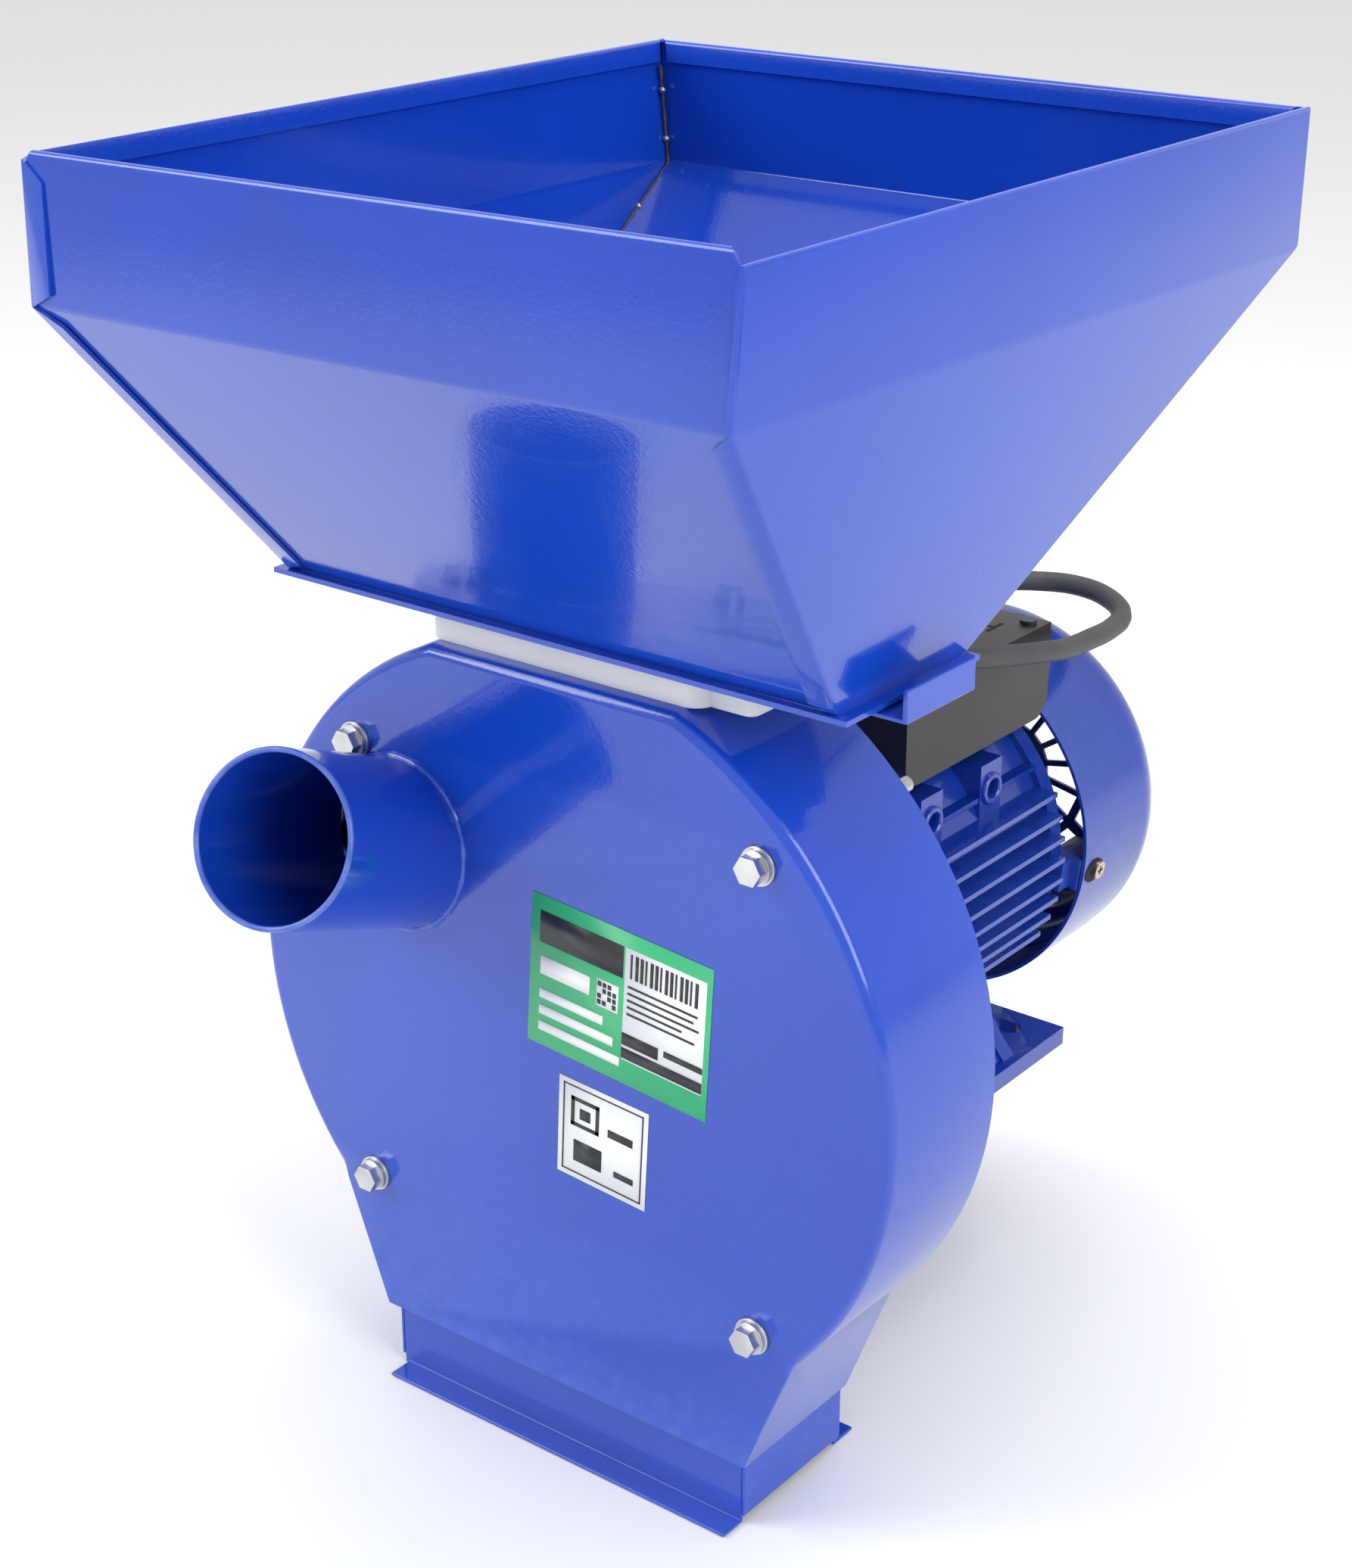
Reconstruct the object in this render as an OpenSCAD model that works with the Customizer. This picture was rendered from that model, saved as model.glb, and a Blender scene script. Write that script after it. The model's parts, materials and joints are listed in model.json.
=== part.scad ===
// Small hammer mill for grain, driven by a foot-mounted single-phase motor.
// The housing, the hopper, the box and the lead are drawn in housing coordinates: +Y runs back
// from the outer face of the front cover, +Z is up, and X = 0, Z = 0 is the centre of the
// round housing. in_frame() then moves them so that the origin is the centre of the foot
// slots, on the underside of the feet. The rotor and the motor are drawn around their own
// axis, and on_shaft() lifts that axis a little above the housing's centre.

/* [Mill housing] */
// Radius of the round housing
housing_r = 153; // [145:1:160]
// Depth of the front cover, from its outer face to the rear edge of its rim
housing_d = 68; // [64:1:76]
// Height of the flat top above the rotor axis
flat_top_z = 142; // [138:1:143]
// Sheet thickness of the cover
cover_t = 2; // [1.5:0.5:3]
// Thickness of the back plate
back_t = 4; // [3:0.5:6]
// Half of the housing's width at the bottom of its neck
neck_half_w = 92; // [88:1:96]
// Bottom of the cover's neck
neck_z = -157; // [-165:1:-150]
// Distance of each cover bolt from the axis, along X and along Z
bolt_offset = 95.5; // [93:0.5:98]

/* [Hopper] */
// Half width of the rim, along X
rim_half_w = 152.7; // [140:0.1:165]
// Front of the rim, along Y
rim_front = -88.4; // [-100:0.1:-80]
// Back of the rim, along Y
rim_back = 262; // [250:0.5:270]
// Height of the rim
rim_z = 324.5; // [310:0.5:340]
// Height of the bend between the upright band and the slope
bend_z = 271.7; // [260:0.1:285]
// Half width of the walls' foot, along X
foot_half_w = 127; // [115:1:130]
// Sheet thickness of the hopper
hopper_t = 1.5; // [1:0.5:2.5]
// Travel of the feed slide
gate_travel = 95; // [60:1:95]

/* [Feed pipe] */
// Outer radius of the round feed pipe
pipe_r = 33; // [25:0.5:35]
// Length of the pipe along its axis
pipe_len = 90; // [60:1:110]
// Upward slope of the pipe
pipe_tilt = 22.5; // [10:0.5:30]
// Inward lean of the pipe
pipe_lean = 12; // [0:0.5:15]

/* [Rotor] */
// Radius of the circle that the hammer pins sit on
pin_circle_r = 72; // [66:1:74]
// Radius of a hammer pin
pin_r = 5; // [4:0.5:6]
// Farthest point of a hammer from its pin
swing_r = 44; // [36:1:45]
// Width of a hammer
hammer_w = 22; // [16:1:26]
// Inner radius of the screen
screen_r = 120; // [118:1:122]

/* [Motor] */
// Shaft height above the feet
shaft_h = 84; // [80:1:90]
// Height of the shaft above the centre of the round housing
shaft_rise = 4; // [0:1:6]
// Outer radius of the fan cover
fan_cover_r = 82; // [80:1:84]
// Foot slot spacing across the shaft
foot_a = 125; // [120:1:130]
// Foot slot spacing along the shaft
foot_b = 100; // [90:1:110]
// Width of a foot slot
slot_w = 10; // [8:1:12]
// Length of a foot slot
slot_len = 16; // [12:1:20]

/* [Mains lead] */
// Diameter of the lead
cord_d = 9; // [8:0.5:10]

/* [Hidden] */
$fn = 96;
over = 1;                                  // how far a cutting shape runs past a face
gap = 0.3;                                 // space between faces that move past each other

// Housing and its fasteners
corner_a = 43;                             // where the round rim ends, below the horizontal
flat_half_w = sqrt(pow(housing_r, 2) - pow(flat_top_z, 2));
back_y1 = housing_d - 1;                   // rear face of the back plate
back_y0 = back_y1 - back_t;
QUARTERS = [0, 90, 180, 270];
BOLTS = [for (sx = [-1, 1], sz = [-1, 1]) [sx * bolt_offset, sz * bolt_offset]];
bolt_r = 3;
bolt_end = 92;
washer_t = 1.6;
washer_r = 7.4;
throat_half_w = 44;                        // opening from the hopper into the housing
throat_y0 = 18;
throat_y1 = 60;
plate_hole_r = 3.3;                        // clearance hole of an M6 screw
flange_pcr = 50;                           // screws between the back plate and the motor
shaft_hole_r = 22;

// Hopper section, front to back and side to side
bend_front = rim_front - 2.6;
bend_back = rim_back + 3;
foot_front = 1;
foot_back = 77;
foot_z = 158;
bend_half_w = rim_half_w - 2;
hem_h = 9;
base_z0 = 156;
gate_z0 = 152.6;
gate_t = 1.8;
gate_y0 = 18;
gate_y1 = 60.5;
gate_hi = 140;
gate_lo = -47;
screw_x = 50.5;                            // screws that hold the hopper on the throat
SCREW_Y = [13, 65];
rivet_r = 2;
rivet_x = 52.5;                            // screws that hold the throat on the housing
RIVET_Y = [30, 48];
throat_y = [8, 70];

// Chute
chute_half_w = 89.5;
chute_t = 1.5;
chute_front_y = 4;
chute_back_y = back_y1;                    // the back sheet lies behind the back plate
chute_top = -127;
chute_side_z = -183;
chute_z = -187;
lip = 12;

// Screen
screen_t = 1.5;
screen_rise = 25;                          // how far it climbs past the horizontal, in degrees
screen_cols = 20;
SCREEN_ROWS = [16, 33, 50];
screen_hole_r = 4.5;
rail_t = 4;
rail_w = 6;

// Rotor stack along Y
disc_r = 84;
disc_t = 3;
disc1_y = 14;
disc2_y = 49;
hub_r = 24;
hammer_t = 6;
HAMMER_Y = [22.3, 37.7];
PIN_A = [45, 135, 225, 315];
pin_hole_r = pin_r + 0.06;

// Motor
flange_y = back_y1;                        // mounting face of the front shield
frame_y0 = flange_y + 16;
frame_y1 = 248;
shaft_r = 9.5;
journal_r = 10;
fan_y0 = 268;
fan_y1 = 286;
fan_r = 50;
cover_y0 = 257;                            // rim, crease and end of the fan cover
crease_y = 298;
cover_y1 = 330;
shoulder_r = 20;
fan_cover_t = 1.5;
foot_y = 178;                              // centre of the foot slots along Y
frame_r = 67;
fin_pitch = 9.5;
fin_tip_r = 77;
rib_tip_z = -76;                           // lower ends of the ribs under the frame
foot_t = 8;
bearing_r = 23.5;
bearing_w = 14;
bearing1_y = 76;
bearing2_y = 238;
EARS = [-7, 187, 270];                     // where the fan cover is screwed on, in degrees
ear_y = 267.5;
ear_w = 14;
LUGS = [166, 211];                         // lifting lugs on both sides of the frame
lug_x = 60.5;
lug_z = 41;
shield_r = 70;

// Capacitor and switch box
box_half_w = 59;
box_y0 = 148;
box_y1 = 256.5;
box_z0 = 64;
box_corner = 10;                           // rounding of the lower corners
box_rear = 8.5;                            // thickness of the rear wall
seam_z = 92;
lid_z = 105;
box_t = 2.5;
saddle_r = 70.5;

post_x = 52;                               // lid screws
POST_Y = [box_y0 + 7, box_y1 - 7];
lid_screw_r = 1.9;

// Switch and reset button, on the left side of the box
switch_y = 187;
switch_z = 80;
rocker_x = -57.5;                          // pin of the rocker
rocker_pin_r = 1.2;
rocker_tip = 8;                            // lean of the rocker to either side, in degrees
reset_y = 222;
reset_r = 4;

// Lead: the gland in the box, the route to the coil, the coil, the tail and the plug
gland_x = -4;
gland_z = 96.5;
gland_r = 5.9;
relief_len = 31.5;
floor_z = chute_z;
coil_x = -37.5;
coil_y = 204;
coil_z = floor_z + 1;
coil_w = 2 * cord_d;                       // two turns side by side, in two layers
coil_in = 41;
CORD = [[-4, 288, 96.5], [-4, 292, 96.5], [1, 310, 96.5], [14, 323, 96], [32, 328, 96],
    [50, 323, 95], [63, 310, 94], [68, 292, 94], [69, 272, 95], [70, 252, 97], [70, 232, 101],
    [69, 209, 106], [64, 187, 110], [51, 174, 111], [33, 169, 111], [12, 168, 110],
    [-10, 168, 110], [-32, 168, 110], [-56, 168, 110], [-74, 168, 105], [-87, 168, 92],
    [-92, 168, 74], [-92, 168, 50], [-92, 168, 26], [-92, 168, 2], [-92, 168, -22],
    [-92, 168, -46], [-92, 168, -70], [-92, 168, -94], [-92, 168, -116], [-92, 168, -136.5],
    [-92, 173, -154.5], [-92, 186, -167.5], [-92, 198, -172]];
TAIL = [[-92, 204, -181.5], [-92, 216, -180.5], [-92, 229, -175.5], [-92, 242, -170],
    [-92, 255, -168.5]];
plug_y = 255;
plug_r = 18.5;
PLUG = [-92, plug_y, floor_z + plug_r];

// ---------- shared shapes ----------

// Moves housing coordinates into the part's own frame
module in_frame() {
    translate([0, -foot_y, shaft_h - shaft_rise]) children();
}

// The same for what is drawn around the shaft
module on_shaft() {
    in_frame() translate([0, 0, shaft_rise]) children();
}

// Round bar along Y
module bar_y(r, y0, y1, x = 0, z = 0) {
    translate([x, y0, z]) rotate([-90, 0, 0]) cylinder(h = y1 - y0, r = r);
}

// Hexagonal bar along Y, measured across its flats
module hex_y(af, y0, y1, x = 0, z = 0) {
    translate([x, y0, z]) rotate([-90, 0, 0]) cylinder(h = y1 - y0, r = af / sqrt(3), $fn = 6);
}

// Plate along Y from a flat outline drawn in X and Z
module plate_y(y0, y1) {
    translate([0, y1, 0]) rotate([90, 0, 0]) linear_extrude(height = y1 - y0) children();
}

// Plate along X from a flat outline drawn in Y and Z
module plate_x(x0, x1) {
    translate([x0, 0, 0]) rotate([90, 0, 90]) linear_extrude(height = x1 - x0) children();
}

// Solid of revolution about the Y axis, from an outline in radius and Y
module turned_y() {
    rotate([-90, 0, 0]) rotate_extrude() children();
}

module box3(x0, x1, y0, y1, z0, z1) {
    translate([x0, y0, z0]) cube([x1 - x0, y1 - y0, z1 - z0]);
}

// Rectangle with round corners
module round_rect(x0, x1, y0, y1, r) {
    for (x = [x0 + r, x1 - r], y = [y0 + r, y1 - r]) translate([x, y]) circle(r);
    translate([x0 + r, y0]) square([x1 - x0 - 2 * r, y1 - y0]);
    translate([x0, y0 + r]) square([x1 - x0, y1 - y0 - 2 * r]);
}

// ---------- housing ----------

// Outline of the housing: round, flat on top, with a straight neck below
module housing_outline(inset) {
    r = housing_r - inset;
    difference() {
        circle(r);
        translate([-housing_r, flat_top_z - inset]) square([2 * housing_r, housing_r]);
    }
    corner = [r * cos(corner_a), -r * sin(corner_a)];
    half = neck_half_w - inset;
    polygon([[-corner.x, corner.y], [-half, neck_z], [half, neck_z], [corner.x, corner.y]]);
}

module pipe_axis() {
    translate([-76, 0, 57.5]) rotate([90 - pipe_tilt, 0, pipe_lean]) children();
}

module front_cover() {
    color("mediumblue") in_frame() difference() {
        plate_y(0, housing_d) housing_outline(0);
        plate_y(cover_t, housing_d + over) housing_outline(cover_t);
        box3(-neck_half_w + cover_t, neck_half_w - cover_t, cover_t, housing_d + over,
            neck_z - over, neck_z + over);
        box3(-throat_half_w, throat_half_w, throat_y0, throat_y1, flat_top_z - 4, flat_top_z + over);
        pipe_axis() translate([0, 0, -12]) cylinder(h = 40, r = pipe_r - 2);
        for (b = BOLTS) bar_y(plate_hole_r, -over, cover_t + over, b.x, b.y);
        for (x = [-rivet_x, rivet_x], y = RIVET_Y) translate([x, y, flat_top_z - 4])
            cylinder(h = 6, r = rivet_r + 0.2);
    }
}

module feed_pipe() {
    color("mediumblue") in_frame() difference() {
        pipe_axis() difference() {
            translate([0, 0, -20]) cylinder(h = pipe_len + 20, r = pipe_r);
            translate([0, 0, -21]) cylinder(h = pipe_len + 22, r = pipe_r - 2);
        }
        box3(-130, 0, 0, 60, -20, 120);
    }
}

module back_plate() {
    color("mediumblue") in_frame() difference() {
        plate_y(back_y0, back_y1) housing_outline(cover_t + gap);
        bar_y(shaft_hole_r, back_y0 - over, back_y1 + over, 0, shaft_rise);
        for (b = BOLTS) bar_y(plate_hole_r, back_y0 - over, back_y1 + over, b.x, b.y);
        translate([0, 0, shaft_rise]) for (a = QUARTERS) rotate([0, a, 0])
            bar_y(plate_hole_r, back_y0 - over, back_y1 + over, flange_pcr);
    }
}

module cover_bolts() {
    color("silver") in_frame() for (b = BOLTS) {
        bar_y(bolt_r, -washer_t - 1, bolt_end, b.x, b.y);
        bar_y(6.6, -washer_t - 1.6, -washer_t, b.x, b.y);
        hex_y(10, -washer_t - 6, -washer_t - 1, b.x, b.y);
    }
}

module cover_washers() {
    color("gainsboro") in_frame() for (b = BOLTS) difference() {
        bar_y(washer_r, -washer_t, 0, b.x, b.y);
        bar_y(bolt_r + 0.2, -washer_t - over, over, b.x, b.y);
    }
}

module cover_nuts() {
    color("silver") in_frame() for (b = BOLTS) difference() {
        hex_y(10, back_y1, back_y1 + 5, b.x, b.y);
        bar_y(bolt_r + 0.05, back_y1 - over, back_y1 + 6, b.x, b.y);
    }
}

module cover_spacers() {
    color("darkgray") in_frame() for (b = BOLTS) difference() {
        bar_y(6, cover_t, back_y0, b.x, b.y);
        bar_y(bolt_r + 0.2, cover_t - over, back_y0 + over, b.x, b.y);
    }
}

// Sheet with its lower edge bent out into a flange, from y0 to lip_y
module chute_sheet(y0, lip_y) {
    half = chute_half_w - chute_t - 0.1;
    color("mediumblue") in_frame() {
        box3(-half, half, y0, y0 + chute_t, chute_z, chute_top);
        box3(-half + 2, half, min(y0, lip_y), max(y0 + chute_t, lip_y), chute_z,
            chute_z + chute_t);
    }
}

// Side sheets: inside the housing above its neck, and as deep as the whole chute below it
module chute_sides() {
    color("mediumblue") in_frame() for (x = [-chute_half_w, chute_half_w - chute_t]) {
        box3(x, x + chute_t, chute_front_y, back_y0 - gap, neck_z - 0.4, -112);
        box3(x, x + chute_t, chute_front_y, chute_back_y + chute_t, chute_side_z, neck_z - 0.4);
    }
}

// ---------- screen ----------

// Curved strip that hangs below the rotor: radius r0 to r1, from y0 to y1, open at the top
module hung_arc(r0, r1, y0, y1, rise) {
    rotate([-90, 0, 0]) rotate([0, 0, -rise]) rotate_extrude(angle = 180 + 2 * rise)
        translate([r0, y0]) square([r1 - r0, y1 - y0]);
}

module screen() {
    span = 180 + 2 * screen_rise;
    color("lightgray") on_shaft() difference() {
        hung_arc(screen_r, screen_r + screen_t, cover_t + 1, back_y0 - 1, screen_rise);
        for (c = [0 : screen_cols - 1], y = SCREEN_ROWS)
            rotate([0, -screen_rise + span * (c + 0.5) / screen_cols, 0])
                translate([screen_r - 4, y, 0]) rotate([0, 90, 0])
                    cylinder(h = 10, r = screen_hole_r);
    }
}

module screen_rails() {
    color("dimgray") on_shaft() {
        for (y = [cover_t, back_y0 - rail_w])
            hung_arc(screen_r + screen_t + gap, screen_r + screen_t + gap + rail_t, y, y + rail_w,
                screen_rise - 5);
    }
}

// ---------- hopper ----------

// Half outline of the hopper between rim, bend and foot, inset by t and, to cut through a
// wall's ends, carried on by up past the rim and the foot
function hopper_half(rim, bend, foot, t, up) =
    let (lean = (rim - bend) / (rim_z - bend_z), slope = atan2(bend - foot, bend_z - foot_z))
    [[rim - t + up * lean, rim_z + up], [bend - t, bend_z - t * tan(slope / 2)],
    [foot - t / cos(slope) - up * tan(slope), foot_z - up]];

function mirrored(points) = [for (i = [len(points) - 1 : -1 : 0]) [-points[i].x, points[i].y]];

// Section from side to side
module hopper_side_section(t, up = 0) {
    half = hopper_half(rim_half_w, bend_half_w, foot_half_w, t, up);
    polygon(concat(half, mirrored(half)));
}

// Section from front to back
module hopper_long_section(t, up = 0) {
    front = hopper_half(-rim_front, -bend_front, -foot_front, t, up);
    polygon(concat(hopper_half(rim_back, bend_back, foot_back, t, up), mirrored(front)));
}

// Front or back wall: a bent sheet fitted between the side walls, with its rim folded inwards
module hopper_long_wall(y0, y1) {
    hem = hopper_t * 2 + 0.3;
    color("mediumblue") in_frame() intersection() {
        difference() {
            plate_x(-rim_half_w, rim_half_w) hopper_long_section(0);
            plate_x(-rim_half_w - over, rim_half_w + over) difference() {
                hopper_long_section(hopper_t, over);
                translate([-200, rim_z - hem_h]) square([200 + rim_front + hem, 20]);
                translate([rim_back - hem, rim_z - hem_h]) square([100, 20]);
            }
        }
        plate_y(rim_front - 10, rim_back + 10) hopper_side_section(hopper_t + 0.02, over);
        box3(-200, 200, y0, y1, 100, 400);
    }
}

// Left or right wall, reaching over the ends of the front and back walls
module hopper_side_wall(x0, x1) {
    hem = hopper_t * 2 + 0.3;
    color("mediumblue") in_frame() intersection() {
        union() {
            difference() {
                plate_y(rim_front - 10, rim_back + 10) hopper_side_section(0);
                plate_y(rim_front - 11, rim_back + 11) hopper_side_section(hopper_t, over);
            }
            intersection() {
                difference() {
                    plate_y(rim_front - 10, rim_back + 10) hopper_side_section(0);
                    box3(-rim_half_w + hem, rim_half_w - hem, -200, 400, 100, 400);
                    box3(-200, 200, -200, 400, 100, rim_z - hem_h);
                }
                plate_x(-200, 200) hopper_long_section(hem + 0.4, 0);
            }
        }
        plate_x(-200, 200) hopper_long_section(0);
        box3(x0, x1, -200, 400, 100, 400);
    }
}

module hopper_front() { hopper_long_wall(-200, 38); }

module hopper_back() { hopper_long_wall(40, 400); }

module hopper_left() { hopper_side_wall(-200, 0); }

module hopper_right() { hopper_side_wall(0, 200); }

module hopper_base() {
    color("mediumblue") in_frame() difference() {
        box3(-132, 132, -3, 79, base_z0, foot_z);
        box3(-throat_half_w, throat_half_w, throat_y0, throat_y1, base_z0 - over, foot_z + over);
        for (x = [-screw_x, screw_x], y = SCREW_Y) translate([x, y, base_z0 - over])
            cylinder(h = 4, r = 2.1);
    }
}

// Feed slide: a flat tongue with a handle bent up at its end
module feed_slide() {
    color("mediumblue") in_frame() {
        box3(gate_lo, gate_hi, gate_y0, gate_y1, gate_z0, gate_z0 + gate_t);
        box3(gate_hi - 0.2, gate_hi + gate_t, gate_y0, gate_y1, gate_z0, gate_z0 + 12);
    }
}

// Plastic frame between the hopper and the housing, slotted for the slide
module feed_throat() {
    color("whitesmoke") in_frame() difference() {
        translate([0, 0, flat_top_z]) linear_extrude(height = base_z0 - flat_top_z) {
            round_rect(-64, 64, throat_y[0], throat_y[1], 8);
            round_rect(40, 82, 14, 64, 4);
        }
        box3(-throat_half_w, throat_half_w, throat_y0, throat_y1, flat_top_z - over, base_z0 + over);
        box3(gate_lo - gap, 90, gate_y0 - gap, gate_y1 + gap, gate_z0 - gap, gate_z0 + gate_t + gap);
        for (x = [-screw_x, screw_x], y = SCREW_Y) translate([x, y, flat_top_z + 1.5])
            cylinder(h = 20, r = rivet_r + 0.05);
        for (x = [-rivet_x, rivet_x], y = RIVET_Y) translate([x, y, flat_top_z - over])
            cylinder(h = 9, r = rivet_r + 0.05);
    }
}

module hopper_screws() {
    color("silver") in_frame() for (x = [-screw_x, screw_x], y = SCREW_Y) translate([x, y, 0]) {
        translate([0, 0, foot_z]) cylinder(h = 2, r = 4);
        translate([0, 0, flat_top_z + 2]) cylinder(h = foot_z - flat_top_z - 1, r = rivet_r);
    }
    color("silver") in_frame() for (x = [-rivet_x, rivet_x], y = RIVET_Y)
        translate([x, y, flat_top_z - cover_t]) {
            translate([0, 0, -2]) cylinder(h = 2, r = 3.4);
            translate([0, 0, -1]) cylinder(h = 10, r = rivet_r);
        }
}

// ---------- rotor ----------

module rotor_hub() {
    color("dimgray") on_shaft() difference() {
        bar_y(hub_r, disc1_y, 54);
        bar_y(shaft_r, disc1_y - over, 54 + over);
        box3(-3, 3, disc1_y - over, 54 + over, 0, 11.6);
    }
}

module rotor_discs() {
    color("slategray") on_shaft() for (y = [disc1_y, disc2_y]) difference() {
        bar_y(disc_r, y, y + disc_t);
        bar_y(hub_r, y - over, y + disc_t + over);
        for (a = PIN_A) bar_y(pin_r, y - over, y + disc_t + over, pin_circle_r * cos(a),
            pin_circle_r * sin(a));
    }
}

module hammer_pins() {
    color("silver") on_shaft() for (a = PIN_A) {
        x = pin_circle_r * cos(a);
        z = pin_circle_r * sin(a);
        bar_y(pin_r, disc1_y - 1, 55, x, z);
        bar_y(8, disc1_y - 3, disc1_y, x, z);
        bar_y(7, disc2_y + disc_t, disc2_y + disc_t + 1.5, x, z);
    }
}

module pin_spacers() {
    color("gray") on_shaft() for (a = PIN_A, y = [[17, 22], [28.6, 37.4], [44, 49]]) difference() {
        bar_y(8, y[0], y[1], pin_circle_r * cos(a), pin_circle_r * sin(a));
        bar_y(pin_r, y[0] - over, y[1] + over, pin_circle_r * cos(a), pin_circle_r * sin(a));
    }
}

// Swinging hammer, hanging straight down from its pin
module hammer(i) {
    a = PIN_A[floor(i / 2)];
    y = HAMMER_Y[i % 2];
    reach = sqrt(pow(swing_r, 2) - pow(hammer_w / 2, 2));
    color("darkslategray") on_shaft() translate([pin_circle_r * cos(a), 0, pin_circle_r * sin(a)])
        difference() {
            union() {
                bar_y(hammer_w / 2, y, y + hammer_t);
                box3(-hammer_w / 2, hammer_w / 2, y, y + hammer_t, -reach, 0);
            }
            bar_y(pin_hole_r, y - over, y + hammer_t + over);
        }
}

module hub_bolt() {
    color("silver") on_shaft() {
        bar_y(15, disc1_y - 2.5, disc1_y);
        hex_y(13, disc1_y - 8, disc1_y - 2.5);
    }
}

module shaft_key() {
    color("gray") on_shaft() box3(-3, 3, 20, 50, 6, 11.6);
}

module motor_shaft() {
    color("silver") on_shaft() difference() {
        union() {
            bar_y(shaft_r, disc1_y, 76);
            bar_y(journal_r, 70, 112);
            bar_y(14, 108, 222);
            bar_y(journal_r, 218, 262);
            bar_y(7, 260, 296);
        }
        box3(-3, 3, 20, 50, 6, 12);
    }
}

module rotor_core() {
    color("dimgray") on_shaft() difference() {
        union() {
            bar_y(36, 118, 212);
            for (y = [[113, 118], [212, 217]]) bar_y(34, y[0], y[1]);
        }
        bar_y(14, 100, 230);
    }
}

// Ball bearing drawn as its closed outer shape
module bearing(y0) {
    color("lightsteelblue") on_shaft() difference() {
        bar_y(bearing_r, y0, y0 + bearing_w);
        bar_y(journal_r + 0.05, y0 - over, y0 + bearing_w + over);
    }
}

module cooling_fan() {
    color("black") on_shaft() difference() {
        union() {
            bar_y(13, fan_y0, fan_y1);
            bar_y(fan_r - 4, fan_y0, fan_y0 + 2.5);
            for (a = [0 : 40 : 320]) rotate([0, a, 0])
                box3(11, fan_r, fan_y0, fan_y1 - 2, -1.2, 1.2);
        }
        bar_y(7, fan_y0 - over, fan_y1 + over);
    }
}

// ---------- motor ----------

// Height of each side fin, and how far out it reaches
function fin_z(i) = (i - 4) * fin_pitch;
function fin_reach(z) = z > 30 ? 60 : sqrt(pow(fin_tip_r, 2) - pow(z, 2));

module motor_frame() {
    color("mediumblue") on_shaft() difference() {
        union() {
            bar_y(frame_r, frame_y0, frame_y1);
            for (i = [0 : 8], s = [-1, 1])
                translate([s > 0 ? 50 : -fin_reach(fin_z(i)), frame_y0, fin_z(i) - 1.1])
                    cube([fin_reach(fin_z(i)) - 50, frame_y1 - frame_y0, 2.2]);
            for (x = [-27 : 9 : 27]) translate([x - 1.1, frame_y0, rib_tip_z])
                cube([2.2, frame_y1 - frame_y0, 26]);
            intersection() {
                bar_y(saddle_r, 152, frame_y1);
                box3(-30, 30, 152, frame_y1, 20, 80);
            }
            for (s = [-1, 1], y = LUGS)
                box3(s > 0 ? 40 : -lug_x, s > 0 ? lug_x : -40, y - 8, y + 8, lug_z - 12, lug_z + 12);
        }
        bar_y(62, frame_y0 - over, frame_y1 + over);
        for (s = [-1, 1], y = LUGS) translate([s > 0 ? lug_x - 8 : -lug_x - over, y, lug_z])
            rotate([0, 90, 0]) cylinder(h = 9, r = 4);
    }
}

module front_shield() {
    color("mediumblue") on_shaft() difference() {
        union() {
            bar_y(78, flange_y, flange_y + 9);
            bar_y(66, flange_y + 9, frame_y0);
            bar_y(29, frame_y0 - over, 92);
        }
        bar_y(11, flange_y - over, 100);
        bar_y(bearing_r, bearing1_y, 93);
        for (a = QUARTERS) rotate([0, a, 0])
            bar_y(3, flange_y - over, flange_y + 10, flange_pcr);
    }
}

module rear_shield() {
    color("mediumblue") on_shaft() difference() {
        union() {
            bar_y(shield_r, frame_y1, cover_y0 - over);
            bar_y(29, bearing2_y, frame_y1 + over);
            for (a = EARS) rotate([0, -a, 0]) {
                box3(60, 76, frame_y1, cover_y0 - over, -ear_w / 2, ear_w / 2);
                box3(66, 80, cover_y0 - 2, ear_y + 7, -ear_w / 2, ear_w / 2);
            }
        }
        bar_y(bearing_r, bearing2_y - over, bearing2_y + bearing_w);
        bar_y(11, bearing2_y - over, 260);
        for (a = EARS) rotate([0, -a, 0]) translate([70, ear_y, 0]) rotate([0, 90, 0])
            cylinder(h = 12, r = 2);
    }
}

module motor_feet() {
    half_len = 65;
    color("mediumblue") on_shaft() difference() {
        union() {
            for (s = [-1, 1]) {
                box3(s > 0 ? 40 : -84, s > 0 ? 84 : -40, foot_y - half_len, foot_y + half_len,
                    -shaft_h, -shaft_h + foot_t);
                for (y = [foot_y - 30, foot_y + 22]) plate_y(y, y + 8)
                    polygon([[s * 36, -shaft_h + 4], [s * 80, -shaft_h + 4],
                        [s * 80, -shaft_h + foot_t], [s * 52, -42], [s * 36, -50]]);
            }
            box3(-41, 41, foot_y - half_len, foot_y + half_len, -shaft_h + 2, -shaft_h + foot_t);
        }
        bar_y(frame_r, frame_y0 - 5, frame_y1 + 5);
        box3(-29, 29, frame_y0, frame_y1, rib_tip_z - gap, -40);
        for (sx = [-1, 1], sy = [-1, 1])
            translate([sx * foot_a / 2, foot_y + sy * foot_b / 2, -shaft_h - over])
                linear_extrude(height = 12) foot_slot();
    }
}

module foot_slot() {
    run = slot_len - slot_w;
    for (s = [-1, 1]) translate([s * run / 2, 0]) circle(d = slot_w);
    square([run, slot_w], center = true);
}

module stator_core() {
    color("gray") on_shaft() difference() {
        bar_y(62, 118, 212);
        bar_y(36.4, 117, 213);
    }
}

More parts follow.
